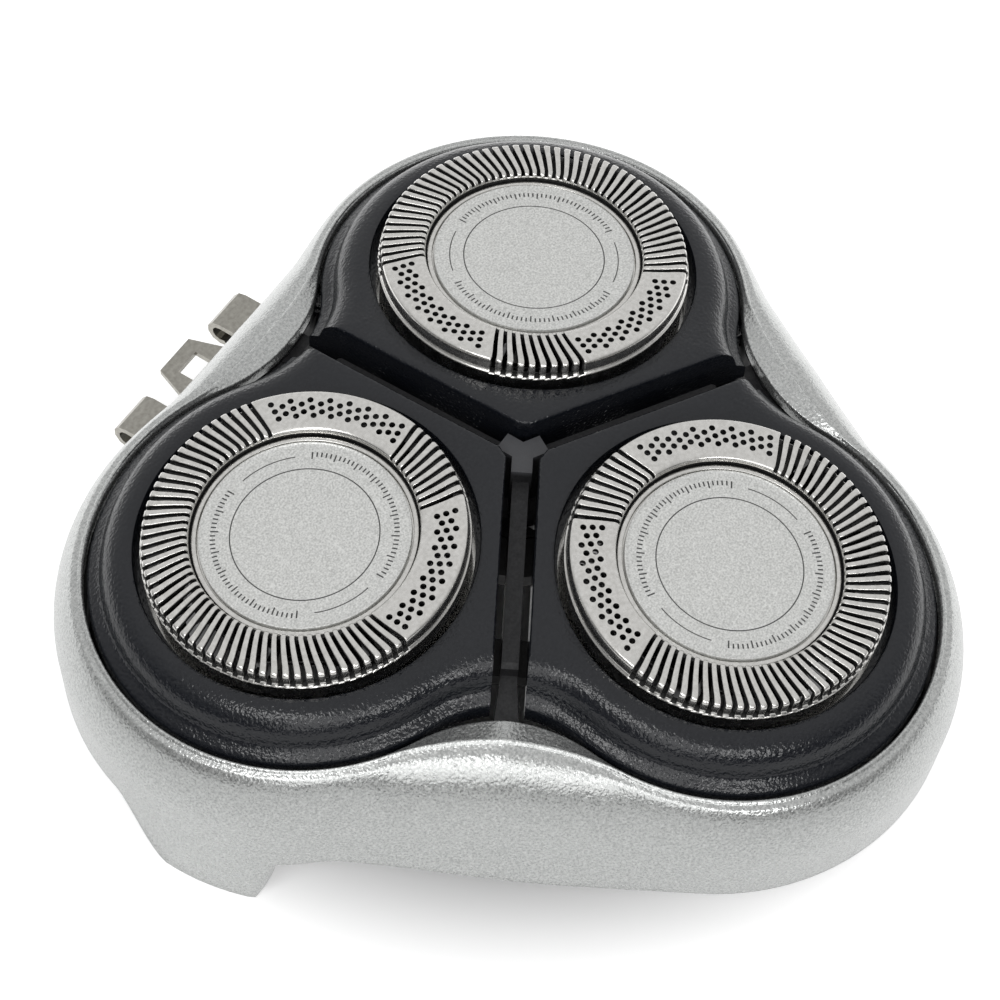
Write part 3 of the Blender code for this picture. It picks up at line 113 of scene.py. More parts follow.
# Petal: its profile as (inset, height) and its bore's edge as (out, up) from the upper rim, in millimetres
PETAL_COLUMNS = 121
CORNER_ROUNDS = 12
FLANK_ROUND = 0.3 * MM
FLANK_STEPS = (0.75, 0.5, 0.25, 0.03, 0.0)
PETAL_PROFILE = (
    (0.0, -5.3), (0.0, -4.25), (0.03, -4.03), (0.13, -3.88), (0.3, -3.77), (0.6, -3.58), (0.86, -3.41),
    (0.97, -3.26), (1.03, -3.02), (1.14, -2.6), (1.3, -2.2), (1.52, -1.87), (1.8, -1.6), (2.12, -1.38),
    (2.45, -1.23), (2.8, -1.14), (3.1, -1.1),
)
BORE_EDGE = ((0.25, 0.0), (0.08, -0.06), (0.0, -0.25))
EAR_HALF_WIDTH = 1.6 * MM
EAR_FACES = (0.1 * MM, 1.2 * MM)
EAR_OVERLAP = 1.1 * MM
TRUNNION_RADIUS = 0.8 * MM
TRUNNION_INSIDE = 0.5 * MM
TRUNNION_OUTSIDE = 1.1 * MM
TRUNNION_SIDES = 24

# Guard
GUARD_WALL = 0.35 * MM
GUARD_DEPTH = 6.75 * MM
SHOULDER_RADIUS = 0.3 * MM
SLOT_LOW = -0.7 * MM
WELL_FLOOR = -0.45 * MM
FLANGE_RADIUS = 12.7 * MM
FLANGE_THICKNESS = 0.6 * MM
CHANNEL_RADIUS = 8.3 * MM
PIN_RADIUS = 1.2 * MM
PIN_LENGTH = 1.8 * MM
SLOT_PITCHES = 88
INNER_SLOTS = 9
OUTER_SLOTS = 49
SLOT_SHARE = 0.42
SLOT_LEAN = math.radians(3.4)
LEAN_START = 8.45 * MM
LEAN_END = 11.0 * MM
BAR_ROUND = 0.07 * MM
BAR_MIDDLE = 10 * MM
BAR_EDGE = ((0.0, 1.0), (0.29, 0.29), (1.0, 0.0))
HOLE_RADIUS = 0.23 * MM
HOLE_SIDES = 14
HOLE_COLUMNS = 15
HOLE_COLUMN_PITCH = math.radians(3.85)
HOLE_ROWS = ((10.6, 9.95, 9.3), (10.27, 9.62))
FIELD_STEPS = 5
FIELD_LEAN_SHARE = 0.35
GUARD_SIDES = 180
PIN_STEP = 4
SIDE_LIP = 0.5 * MM

# Material of the guard's faces that no light reaches, painted dark as painted shade in place of their steel;
# the steel is 0
PAINTED_SHADE = 1

# The guards lie this much lower, which keeps their crisper shoulders inside the CAD model's box
GUARD_SINK = 0.02 * MM

# Inner end of the bars, as (radius, z) in millimetres above and under the sheet
BAR_BEAD = (((8.13, 0.22), (8.42, 0.08)), ((8.15, 0.38), (8.46, 0.12)), ((8.28, 0.49), (8.55, 0.18)),
            ((8.52, 0.55), (8.66, 0.2)))
BAR_FLAT = (8.95, 9.5, 10.1, 10.7)
SHOULDER_TURNS = (90, 60, 30, 0)

# Outer end of the bars and the bead that they run into, as (radius, z) over the slots' lower end
BAR_FOOT = ((11.45, 0.32), (11.47, 0.2), (11.53, 0.1), (11.61, 0.03), (11.64, 0.0))
FOOT_BEAD = ((11.66, -0.08), (11.62, -0.17), (11.45, -0.25))

# Well of the guard: the gap behind the bars, the ledge round the disc and the floor
# Rings of the well's gap, behind the bars, that get painted shade
WELL_GAP = 3
WELL_PROFILE = ((8.12, 0.12), (8.1, -0.35), (8.01, -0.35), (8.0, -0.16), (7.96, -0.12), (7.66, -0.14),
                (7.62, -0.18), (7.6, -0.45), (0.6, -0.45))

# Disc, with its inked faces: a circle, two arcs and a graduation. Each is named by its outer ring and
# reaches in to the next; arcs and ticks are in degrees.
DISC_SIDE = ((7.5, -0.42), (7.5, -0.12), (7.47, -0.06), (7.4, -0.04), (7.33, -0.07), (7.28, -0.1))
DISC_RINGS = (7.0, 6.64, 6.54, 6.34, 6.26, 6.06, 5.3, 5.21, 3.4, 1.6)
DISC_TOP = -0.1 * MM
DISC_SIDES = 720
CIRCLE_RING = 5.3
ARC_RING = 6.34
ARC_HALF = 19.0
TICK_RINGS = (6.64, 6.54, 6.34)
LONG_TICK_RINGS = (6.64, 6.54, 6.34, 6.26)
TICK_PITCH = 3.0
TICK_WIDTH = 1.0
TICK_HALF_SPAN = 60.0
LONG_TICK_EVERY = 5

# Meshes: the least angle of a sharp edge in degrees, and the tolerances of the mesh tools
SHARP = {"shell_skin": 50, "petal_skin": 40, "guard_skin": 50, "disc_skin": 34, "floor": 30}
WELD_DISTANCE = 1e-7
PLATE_TOLERANCE = 1e-9
TRIANGLES_INSIDE = 1

# Materials: the part of its range that a noise mostly keeps to, and the octaves of its uses
NOISE_RANGE = (0.3, 0.7)
COLOUR_DETAIL = 2.0
ROUGHNESS_DETAIL = 3.0
BUMP_DETAIL = 1.0
BUMP_SCALE = 0.8
PETAL_SPECULAR = 0.46
# Heights over which the frame's top turns lighter, and that lighter tone: painted light on its highest faces
LIT_TOP_HEIGHTS = (20.4 * MM, 20.8 * MM)
PAINTED_LIGHT_TONE = (0.058, 0.059, 0.064)
# Colour sockets of a mix node, which has several of the same name
MIX_FIRST, MIX_SECOND, MIX_RESULT = 6, 7, 2

# Camera, as solved from the photo; its focal length is given as a share of the sensor's width
CAMERA_AZIMUTH = math.radians(-61.415)
CAMERA_ELEVATION = math.radians(57.037)
CAMERA_ROLL = math.radians(5.179)
CAMERA_DISTANCE = 199.267 * MM
CAMERA_TARGET = Vector((-4.807 * MM, -1.122 * MM + AXIS_Y, HEAD_HEIGHT))
CAMERA_NEAR = 10 * MM
SENSOR_WIDTH = 36.0
FOCAL_SHARE = 2.83102

# Grey of the sky by the height of its direction, and glow of the floor by the share of its reach;
# both are brighter on the far side, towards FAR_SIDE
FAR_SIDE = Vector((math.cos(math.radians(28.6)), math.sin(math.radians(28.6)), 0.0))
SKY = [(0.0, 0.04), (0.15, 0.1), (0.6, 0.4), (0.89, 0.66), (1.0, 0.74)]
SKY_FAR = [(0.0, 0.8), (0.5, 0.75), (0.9, 0.75), (1.0, 0.8)]
SKY_SPREAD = [(0.3, 0.0), (0.75, 1.0)]
FLOOR_SIZE = 3.0
FLOOR_DROP = 0.02 * MM
FLOOR_TONE = (0.86, 0.86, 0.86, 1.0)
FLOOR_REACH = 0.1
FLOOR_SEEN = [(0.22, 0.0), (0.4, 0.85)]
FLOOR_MIRRORED = [(0.3, 0.2), (0.5, 0.15), (0.6, 0.02), (1.0, 0.0)]
FLOOR_FAR = 0.75
FLOOR_SPREAD = [(0.3, 0.0), (0.65, 1.0)]

# Lamps: bearing and elevation in degrees, width and height in metres, power in watts
LAMP_DISTANCE = 0.7
LAMPS = {
    "window": (206.0, 34.0, (0.3, 0.56), 0.85),
    "left_softbox": (178.0, 53.0, (0.2, 0.2), 0.75),
    "right_softbox": (238.0, 34.0, (0.2, 0.2), 0.75),
}


# Mesh helpers

def at(radius, turn, z):
    return Vector((radius * math.cos(turn), radius * math.sin(turn), z))


def loop_of(bm, points):
    return [bm.verts.new(point) for point in points]


def band(bm, lower, upper):
    """Quads between two closed loops with the same number of points."""
    after_lower, after_upper = lower[1:] + lower[:1], upper[1:] + upper[:1]
    return [bm.faces.new(corners) for corners in zip(lower, after_lower, after_upper, upper)]


def stitch(bm, first, second, centre=(0.0, 0.0)):
    """Triangles between two closed loops around an upright line, whatever their counts."""
    def bearing(vert):
        return math.atan2(vert.co.y - centre[1], vert.co.x - centre[0]) % math.tau

    first = sorted(first, key=bearing)
    second = sorted(second, key=bearing)
    first_turns = [bearing(vert) for vert in first] + [bearing(first[0]) + math.tau]
    second_turns = [bearing(vert) for vert in second] + [bearing(second[0]) + math.tau]
    along, beside = 0, 0
    while along < len(first) or beside < len(second):
        here, there = first[along % len(first)], second[beside % len(second)]
        done = beside == len(second)
        if along < len(first) and (done or first_turns[along + 1] <= second_turns[beside + 1]):
            along += 1
            bm.faces.new((here, first[along % len(first)], there))
        else:
            beside += 1
            bm.faces.new((here, second[beside % len(second)], there))


def even_turns(sides):
    return [math.tau * index / sides for index in range(sides)]


def polar_loop(bm, radius, z, turns):
    return loop_of(bm, [at(radius, turn, z) for turn in turns])


def turned(profile, sides):
    """Turn a profile of (radius, z) points about Z; both its ends lie on the axis."""
    bm = bmesh.new()
    line = loop_of(bm, [(radius, 0.0, z) for radius, z in profile])
    edges = [bm.edges.new(pair) for pair in zip(line, line[1:])]
    bmesh.ops.spin(bm, geom=line + edges, angle=math.tau, steps=sides, axis=(0, 0, 1), cent=(0, 0, 0))
    bmesh.ops.remove_doubles(bm, verts=bm.verts, dist=WELD_DISTANCE)
    return bm


def prism(outline, low, high):
    bm = bmesh.new()
    floor = loop_of(bm, [(x, y, low) for x, y in outline])
    roof = loop_of(bm, [(x, y, high) for x, y in outline])
    band(bm, floor, roof)
    bm.faces.new(list(reversed(floor)))
    bm.faces.new(roof)
    return bm


def box(x_range, y_range, z_range):
    (left, right), (near, far) = x_range, y_range
    return prism([(left, near), (right, near), (right, far), (left, far)], *z_range)


def swing(bm, matrix):
    bmesh.ops.transform(bm, matrix=matrix, verts=bm.verts)
    return bm


def turn_z(angle):
    return Matrix.Rotation(angle, 4, "Z")


def smooth(mesh, name):
    """Smooth shading with the sharp edges that its name asks for."""
    mesh.name = name
    mesh.shade_smooth()
    mesh.set_sharp_from_angle(angle=math.radians(SHARP[name]))
    return mesh


def make_mesh(name, bm):
    bmesh.ops.recalc_face_normals(bm, faces=bm.faces)
    mesh = bpy.data.meshes.new(name)
    bm.to_mesh(mesh)
    bm.free()
    return smooth(mesh, name)


def make_object(name, mesh, matrix=None):
    """Object at the origin, with its place worked into its mesh."""
    if matrix is not None:
        mesh.transform(matrix)
    made = bpy.data.objects.new(name, mesh)
    bpy.context.scene.collection.objects.link(made)
    return made


def joined(name, base, parts):
    """Mesh of the base with the parts joined to it."""
    body = make_object(name, make_mesh(name, base))
    helpers = []
    for index, shape in enumerate(parts):
        helper = make_object(f"{name}_helper_{index}", make_mesh(name, shape))
        boolean = body.modifiers.new("shape", "BOOLEAN")
        boolean.operation = "UNION"
        boolean.solver = "EXACT"
        boolean.object = helper
        helpers.append(helper)
    bpy.context.view_layer.update()
    evaluated = body.evaluated_get(bpy.context.evaluated_depsgraph_get())
    mesh = bpy.data.meshes.new_from_object(evaluated)
    for extra in helpers + [body]:
        bpy.data.objects.remove(extra, do_unlink=True)
    return smooth(mesh, name)


# Outlines around the middle axis, as in the CAD model

def off_lobe(bearing):
    return (bearing - LOBE_DIRECTION + THIRD / 2) % THIRD - THIRD / 2


def lobed_radius(off, lobe_radius, waist):
    """Reach of an outline of three round lobes joined by tangent arcs that pass the waist."""
    half = LOBE_SPACING / 2
    side = waist - half - lobe_radius
    arc = (lobe_radius**2 - (waist - half) ** 2 - 0.75 * LOBE_SPACING**2) / (2 * side)
    sign = math.copysign(1.0, arc)
    arc_centre = waist + arc
    towards = Vector((arc_centre * math.cos(THIRD / 2), arc_centre * math.sin(THIRD / 2)))
    towards = (towards - Vector((LOBE_SPACING, 0.0))).normalized() * sign
    tangent = Vector((LOBE_SPACING, 0.0)) + lobe_radius * towards
    off = abs(off)
    if off <= math.atan2(tangent.y, tangent.x):
        across = LOBE_SPACING * math.sin(off)
        return LOBE_SPACING * math.cos(off) + math.sqrt(lobe_radius**2 - across**2)
    off_waist = THIRD / 2 - off
    across = arc_centre * math.sin(off_waist)
    return arc_centre * math.cos(off_waist) - sign * math.sqrt(arc**2 - across**2)


def head_plane(reach, off, depth):
    along = reach * math.cos(off) - HEAD_SPACING
    return HEAD_HEIGHT - depth / math.cos(HEAD_TILT) - along * math.tan(HEAD_TILT)


def opening_at(off):
    reach = lobed_radius(off, OPENING_RADIUS, OPENING_WAIST)
    return reach, head_plane(reach, off, -PETAL_TOP + SIDE_DROP)


def lip_share(opening, crest):
    """How far the shell's lip is widened between the lobes: 0 on a lobe, 1 at the waist."""
    return (crest - opening - CREST_WIDTH) / (CREST_WAIST - OPENING_WAIST - CREST_WIDTH)


def shell_outside(off, share):
    """Point of the shell's rounded flank, from the crest (0) to the belt (1), straighter on the lobes."""
    opening, rim = opening_at(off)
    crest = lobed_radius(off, OPENING_RADIUS + CREST_WIDTH, CREST_WAIST)
    power = 2 / (2 - LOBE_STRAIGHTNESS * (1 - lip_share(opening, crest)))
    belt = lobed_radius(off, BELT_RADIUS - SKIN, BELT_WAIST - SKIN)
    crest_height = rim + CREST_RISE
    angle = share * math.pi / 2
    return (
        crest + (belt - crest) * math.sin(angle) ** power,
        crest_height + (BELT_HEIGHT - crest_height) * (1 - max(math.cos(angle), 0.0) ** power),
    )


def ramp(value, start, end):
    share = min(max((value - start) / (end - start), 0.0), 1.0)
    return share * share * (3 - 2 * share)


def skirt_edge(bearing):
    """Height of the skirt's lower edge: two ears at the sides and a notch for the hinge clip."""
    mirrored = bearing if math.cos(bearing) < 0 else math.pi - bearing
    mirrored %= math.tau
    ear = ramp(mirrored, EAR_START, EAR_START + EAR_RAMP) - ramp(mirrored, EAR_END - EAR_FALL, EAR_END)
    wave_top = EAR_END + EAR_RAMP
    wave = ramp(mirrored, EAR_END, wave_top) - ramp(mirrored, wave_top, wave_top + WAVE_FALL)
    notch = 1 - ramp(abs(mirrored - math.pi / 2), NOTCH_HALF_ANGLE, NOTCH_HALF_ANGLE + EAR_FALL)
    rise = (NOTCH_HEIGHT - SKIRT_HEIGHT) * notch
    return SKIRT_HEIGHT * (1 - ear) + SKIRT_WAVE * wave + rise + SKIRT_LIFT


# Placing

def dress(piece, node, body, slot, *materials):
    """Give a piece its materials, and make it stand for its CAD node on its body."""
    for material in materials:
        piece.data.materials.append(material)
    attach(piece, body)
    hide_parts(node)


def lobe_matrix(direction):
    """From a lobe's frame, with X towards its head, to the row frame."""
    return Matrix.Translation((0, AXIS_Y, 0)) @ turn_z(direction)


def head_in_lobe():
    return Matrix.Translation((HEAD_SPACING, 0.0, HEAD_HEIGHT)) @ Matrix.Rotation(HEAD_TILT, 4, "Y")


# Shell

def shell_section(bearing):
    """Closed section of the shell, from the opening over the crest and the belt to the inside."""
    off = off_lobe(bearing)
    opening, rim = opening_at(off)
    crest, crest_height = shell_outside(off, 0.0)
    middle, middle_height = shell_outside(off, 0.5)
    belt = lobed_radius(off, BELT_RADIUS - SKIN, BELT_WAIST - SKIN)
    skirt = lobed_radius(off, SKIRT_RADIUS, SKIRT_WAIST)
    edge = skirt_edge(bearing)
    inside = middle - FLANK_WALL * FLANK_NORMAL[0]
    inside_height = middle_height - FLANK_WALL * FLANK_NORMAL[1]
    land = min(opening + FRAME_WALL + LIP_LAND, inside - LIP_LAND / 2)
    points = [(opening, rim - LIP_THICKNESS)]
    points += [(opening + out * MM, rim + up * MM) for out, up in LIP_EDGE]
    bead = crest - CREST_SHIFT * (1 - lip_share(opening, crest))
    points += [(bead + out * MM, crest_height + up * MM) for out, up in CREST_BEAD]
    points += [shell_outside(off, index / FLANK_POINTS) for index in range(2, FLANK_POINTS + 1)]
    points += [(belt + (skirt - belt) * share, BELT_HEIGHT + (edge - BELT_HEIGHT) * share)
               for share in SKIRT_SHARES]
    points += [(skirt + out * MM, edge + up * MM) for out, up in SKIRT_EDGE]
    points += [(skirt - SHELL_WALL + out * MM, edge + up * MM) for out, up in INNER_EDGE]
    points += [(belt - SHELL_WALL, BELT_HEIGHT), (inside, inside_height), (land, rim - LIP_THICKNESS)]
    return points


def build_shell(material):
    bm = bmesh.new()
    columns = []
    for bearing in even_turns(SHELL_COLUMNS):
        columns.append(loop_of(bm, [at(reach, bearing, z) for reach, z in shell_section(bearing)]))
    for index, column in enumerate(columns):
        band(bm, column, columns[(index + 1) % len(columns)])
    shell = make_object("shell_skin", make_mesh("shell_skin", bm), Matrix.Translation((0, AXIS_Y, 0)))
    dress(shell, "outer_shell", "unit", "shell_silver", material)


# Petals

def petal_outline(inset, flank_inset):
    """Plan outline of one petal in its lobe's frame, as (reach, angle off the lobe's axis)."""
    flank = GROOVE_HALF + flank_inset
    corner = THIRD / 2
    for _ in range(CORNER_ROUNDS):
        reach = lobed_radius(corner, PETAL_RADIUS - inset, PETAL_WAIST - inset)
        corner = THIRD / 2 - math.asin(flank / reach)
    points = []
    for index in range(PETAL_COLUMNS):
        off = corner * (2 * index / (PETAL_COLUMNS - 1) - 1)
        points.append((lobed_radius(off, PETAL_RADIUS - inset, PETAL_WAIST - inset), off))
    corner_point = Vector((reach * math.cos(corner), reach * math.sin(corner)))
    tip_point = Vector((PETAL_TIP_WIDTH / 2 * math.cos(THIRD / 2) + flank, PETAL_TIP_WIDTH / 2))
    tip_point.x /= math.sin(THIRD / 2)
    flank_points = [tip_point.lerp(corner_point, step) for step in FLANK_STEPS]
    side = [(point.length, math.atan2(point.y, point.x)) for point in flank_points]
    return points + side + [(length, -angle) for length, angle in reversed(side)]


def flank_inset_at(height):
    below = max(PETAL_TOP - height, 0.0)
    if below >= FLANK_ROUND:
        return 0.0
    return FLANK_ROUND - math.sqrt(FLANK_ROUND**2 - (FLANK_ROUND - below) ** 2)


def petal_mesh():
    bm = bmesh.new()
    loops = []
    for inset, height in PETAL_PROFILE:
        inset, height = inset * MM, height * MM
        outline = petal_outline(inset, flank_inset_at(height))
        loops.append(loop_of(bm, [at(reach, off, head_plane(reach, off, -height)) for reach, off in outline]))
    for lower, upper in zip(loops, loops[1:]):
        band(bm, lower, upper)
    bore = []
    to_lobe = head_in_lobe()
    bore_profile = [(BORE_RADIUS + out * MM, PETAL_TOP + up * MM) for out, up in BORE_EDGE]
    bore_profile += [(BORE_RADIUS, GUIDE_TOP), (GUIDE_RADIUS, GUIDE_TOP), (GUIDE_RADIUS, PETAL_BOTTOM)]
    for radius, height in bore_profile:
        bore.append(loop_of(bm, [to_lobe @ at(radius, turn, height) for turn in even_turns(GUARD_SIDES)]))
    for upper, lower in zip(bore, bore[1:]):
        band(bm, upper, lower)
    centre = (HEAD_SPACING, 0.0)
    stitch(bm, loops[-1], bore[0], centre)
    stitch(bm, loops[0], bore[-1], centre)
    return joined("petal_skin", bm, petal_details())


def petal_details():
    """Trunnions and their ears under the petal's two sides."""
    along = HEAD_SPACING - PIVOT_DROP * math.sin(HEAD_TILT)
    height = HEAD_HEIGHT - PIVOT_DROP * math.cos(HEAD_TILT)
    ear_x = (along - EAR_HALF_WIDTH, along + EAR_HALF_WIDTH)
    ear_z = (height - EAR_OVERLAP, head_plane(along, 0.0, -PETAL_BOTTOM) + EAR_OVERLAP)
    parts = []
    for side in (-1, 1):
        face = side * PETAL_RADIUS
        ear_y = sorted(face - side * depth for depth in EAR_FACES)
        parts.append(box(ear_x, ear_y, ear_z))
        ends = (face - side * TRUNNION_INSIDE, face + side * TRUNNION_OUTSIDE)
        profile = [(0.0, ends[0]), (TRUNNION_RADIUS, ends[0]), (TRUNNION_RADIUS, ends[1]), (0.0, ends[1])]
        stub = turned(profile, TRUNNION_SIDES)
        swing(stub, Matrix.Rotation(-math.pi / 2, 4, "X"))
        parts.append(swing(stub, Matrix.Translation((along, 0.0, height))))
    return parts


# Guards

def first_outer_slot():
    return (SLOT_PITCHES - OUTER_SLOTS + 1) // 2


def slot_numbers():
    half, outer = INNER_SLOTS // 2, first_outer_slot()
    return list(range(-half, half + 1)) + list(range(outer, SLOT_PITCHES - outer + 1))


def bar_stations():
    """Stations of a bar from its inner end over the shoulder: top and under point as (radius, z)."""
    stations = [tuple((radius * MM, z * MM) for radius, z in pair) for pair in BAR_BEAD]
    stations += [((radius * MM, GUARD_TOP), (radius * MM, GUARD_TOP - GUARD_WALL)) for radius in BAR_FLAT]
    middle = (GUARD_RADIUS - SHOULDER_RADIUS, GUARD_TOP - SHOULDER_RADIUS)
    for degrees in SHOULDER_TURNS:
        turn = math.radians(degrees)
        stations.append(tuple((middle[0] + radius * math.cos(turn), middle[1] + radius * math.sin(turn))
                              for radius in (SHOULDER_RADIUS, SHOULDER_RADIUS - GUARD_WALL)))
    stations += [((radius * MM, SLOT_LOW + z * MM), (GUARD_RADIUS - GUARD_WALL, SLOT_LOW + z * MM))
                 for radius, z in BAR_FOOT]
    return stations


STATIONS = bar_stations()
FLAT_START = len(BAR_BEAD) - 1
FLAT_END = len(BAR_BEAD) + len(BAR_FLAT)


def lean_at(radius):
    share = (radius - LEAN_START) / (LEAN_END - LEAN_START)
    return SLOT_LEAN * min(max(share, 0.0), 1.0)


def hole_centres():
    pitch = math.tau / SLOT_PITCHES
    middle_turn = (INNER_SLOTS // 2 + first_outer_slot()) / 2 * pitch
    centres = []
    for field in (-1, 1):
        for column in range(HOLE_COLUMNS):
            for radius in HOLE_ROWS[column % 2]:
                turn = field * middle_turn + (column - (HOLE_COLUMNS - 1) / 2) * HOLE_COLUMN_PITCH
                lean = lean_at(radius * MM) - SLOT_LEAN * FIELD_LEAN_SHARE
                centres.append((math.pi + turn + lean, radius * MM))
    return centres


def column_of(bm, turn, level, sunk=0.0):
    """Points along one bearing at every station, on the top (0) or the underside (1)."""
    points = []
    for pair in STATIONS:
        radius, z = pair[level]
        if sunk:
            normal = Vector(pair[0]) - Vector(pair[1])
            normal *= sunk / max(normal.length, GUARD_WALL)
            radius, z = radius - normal.x, z - normal.y
        points.append(bm.verts.new(at(radius, turn + lean_at(pair[0][0]), z)))
    return points


def sheet_between(bm, first, second, material_index=0):
    for index in range(len(first) - 1):
        face = bm.faces.new((first[index], second[index], second[index + 1], first[index + 1]))
        face.material_index = material_index


def flat_border(columns):
    """Loop round the flat part of several neighbouring columns."""
    border = [column[FLAT_START] for column in columns]
    border += [columns[-1][index] for index in range(FLAT_START + 1, FLAT_END)]
    border += [column[FLAT_END] for column in reversed(columns)]
    return border + [columns[0][index] for index in range(FLAT_END - 1, FLAT_START, -1)]


def drilled_plate(bm, columns, height, material_index):
    """Flat face of a hole field with its holes; gives back the holes' edges."""
    border = flat_border(columns)
    flat = [vert.co.to_2d() for vert in border]
    span = [math.atan2(point.y, point.x) % math.tau for point in flat]
    holes = [at(radius, turn, 0.0).to_2d() for turn, radius in hole_centres()
             if min(span) < turn % math.tau < max(span)]
    points = list(flat)
    edges = [(index, (index + 1) % len(flat)) for index in range(len(flat))]
    for centre in holes:
        first = len(points)
        points += [centre + at(HOLE_RADIUS, turn, 0.0).to_2d() for turn in even_turns(HOLE_SIDES)]
        edges += [(first + side, first + (side + 1) % HOLE_SIDES) for side in range(HOLE_SIDES)]
    found, _, faces, _, _, _ = delaunay_2d_cdt(points, edges, [], TRIANGLES_INSIDE, PLATE_TOLERANCE)
    assert len(found) == len(points)
    verts = border + loop_of(bm, [(point.x, point.y, height) for point in points[len(flat):]])
    for face in faces:
        sides = {(index - len(flat)) // HOLE_SIDES for index in face}
        if min(sides) < 0 or len(sides) > 1:
            bm.faces.new([verts[index] for index in face]).material_index = material_index
    return [verts[first:first + HOLE_SIDES] for first in range(len(flat), len(verts), HOLE_SIDES)]


# Painted shade: faces inside the guard, where no light reaches, get a dark material in place of steel
def paint_shade(faces):
    for face in faces:
        face.material_index = PAINTED_SHADE


def build_field(bm, tops, unders):
    """Hole field: the rounded edges and the shoulder as sheets, the flat part drilled, with painted shade
    underneath.
    """
    rounded = len(BAR_EDGE) - 1
    inner_tops, inner_unders = tops[rounded:-rounded], unders[rounded:-rounded]
    for side, (columns, plain) in enumerate(((tops, inner_tops), (unders, inner_unders))):
        for first, second in zip(columns, columns[1:]):
            if first in plain and second in plain:
                sheet_between(bm, first[:FLAT_START + 1], second[:FLAT_START + 1], side)
                sheet_between(bm, first[FLAT_END:], second[FLAT_END:], side)
            else:
                sheet_between(bm, first, second, side)
    upper = drilled_plate(bm, inner_tops, GUARD_TOP, 0)
    lower = drilled_plate(bm, inner_unders, GUARD_TOP - GUARD_WALL, PAINTED_SHADE)
    for top, under in zip(upper, lower):
        paint_shade(band(bm, top, under))


def guard_mesh():
    bm = bmesh.new()
    pitch = math.tau / SLOT_PITCHES
    slots = slot_numbers()
    last = len(STATIONS) - 1
    rings = {"in": [], "out": [], "low_in": [], "low_out": []}
    segments = []
    for position, number in enumerate(slots):
        following = slots[(position + 1) % len(slots)]
        gap = (following - number) % SLOT_PITCHES
        start = math.pi + (number + SLOT_SHARE / 2) * pitch
        end = math.pi + (number + gap - SLOT_SHARE / 2) * pitch
        edge = BAR_ROUND / BAR_MIDDLE
        stops = [(start + edge * along, BAR_ROUND * down) for along, down in BAR_EDGE]
        if gap > 1:
            count = gap * FIELD_STEPS
            stops += [(start + (end - start) * step / count, 0.0) for step in range(1, count)]
        stops += [(end - edge * along, BAR_ROUND * down) for along, down in reversed(BAR_EDGE)]
        tops = [column_of(bm, turn, 0, down) for turn, down in stops]
        unders = [column_of(bm, turn, 1) for turn, _ in (stops if gap > 1 else (stops[0], stops[-1]))]
        if gap > 1:
            build_field(bm, tops, unders)
        else:
            for first, second in zip(tops, tops[1:]):
                sheet_between(bm, first, second)
            sheet_between(bm, unders[1], unders[0], PAINTED_SHADE)
        # The slot walls get painted shade
        sheet_between(bm, unders[0], tops[0], PAINTED_SHADE)
        sheet_between(bm, tops[-1], unders[-1], PAINTED_SHADE)
        segments.append((tops[0], unders[0], tops[-1], unders[-1]))
        for ring, columns, station in (("in", tops, 0), ("out", tops, last), ("low_in", unders, 0),
                                       ("low_out", unders, last)):
            rings[ring] += [column[station] for column in columns]
    for index, sides in enumerate(segments):
        after = segments[(index + 1) % len(segments)]
        for station in (0, last):
            face = bm.faces.new((sides[2][station], after[0][station], after[1][station], sides[3][station]))
            face.material_index = PAINTED_SHADE
    finish_guard(bm, rings)
    return make_mesh("guard_skin", bm)


def finish_guard(bm, rings):
    """Well, side wall, flange, channel and pin of the guard."""
    turns = even_turns(GUARD_SIDES)
    bottom = GUARD_TOP - GUARD_DEPTH
    inner_side = GUARD_RADIUS - GUARD_WALL
    well = [polar_loop(bm, radius * MM, z * MM, turns) for radius, z in WELL_PROFILE]
    stitch(bm, rings["in"], well[0])
    for number, (upper, lower) in enumerate(zip(well, well[1:])):
        ring = band(bm, upper, lower)
        # The gap behind the bars gets painted shade
        if number < WELL_GAP:
            paint_shade(ring)
    bm.faces.new(well[-1])
    side_profile = [(radius * MM, SLOT_LOW + z * MM) for radius, z in FOOT_BEAD]
    side_profile += [(GUARD_RADIUS, bottom + FLANGE_THICKNESS), (FLANGE_RADIUS, bottom + FLANGE_THICKNESS),
                     (FLANGE_RADIUS, bottom), (inner_side, bottom), (inner_side, SLOT_LOW - SIDE_LIP)]
    side = [polar_loop(bm, radius, z, turns) for radius, z in side_profile]
    stitch(bm, rings["out"], side[0])
    for upper, lower in zip(side, side[1:]):
        ring = band(bm, upper, lower)
    # The side's innermost ring, its inner wall, gets painted shade
    paint_shade(ring)
    first_inner = len(bm.faces)
    stitch(bm, rings["low_out"], side[-1])
    under = WELL_FLOOR - GUARD_WALL
    channel = polar_loop(bm, CHANNEL_RADIUS, under, turns)
    stitch(bm, rings["low_in"], channel)
    pin = [polar_loop(bm, PIN_RADIUS, z, turns[::PIN_STEP]) for z in (under, under - PIN_LENGTH)]
    stitch(bm, channel, pin[0])
    band(bm, pin[0], pin[1])
    bm.faces.new(pin[1])
    bm.faces.ensure_lookup_table()
    # Faces inside the guard, from its inner side to the pin, get painted shade
    paint_shade(bm.faces[first_inner:])


def inked(outer, degrees):
    """Whether the disc's top, inwards of a ring and at a bearing in degrees, is printed."""
    if outer == CIRCLE_RING:
        return True
    from_arc = abs((degrees % 180) - 90)
    if outer == ARC_RING and from_arc < ARC_HALF:
        return True
    from_middle = (degrees + 90) % 180 - 90
    tick = round(from_middle / TICK_PITCH)
    if abs(from_middle) > TICK_HALF_SPAN + TICK_WIDTH:
        return False
    if abs(from_middle - tick * TICK_PITCH) > TICK_WIDTH / 2:
        return False
    return outer in (LONG_TICK_RINGS if tick % LONG_TICK_EVERY == 0 else TICK_RINGS)


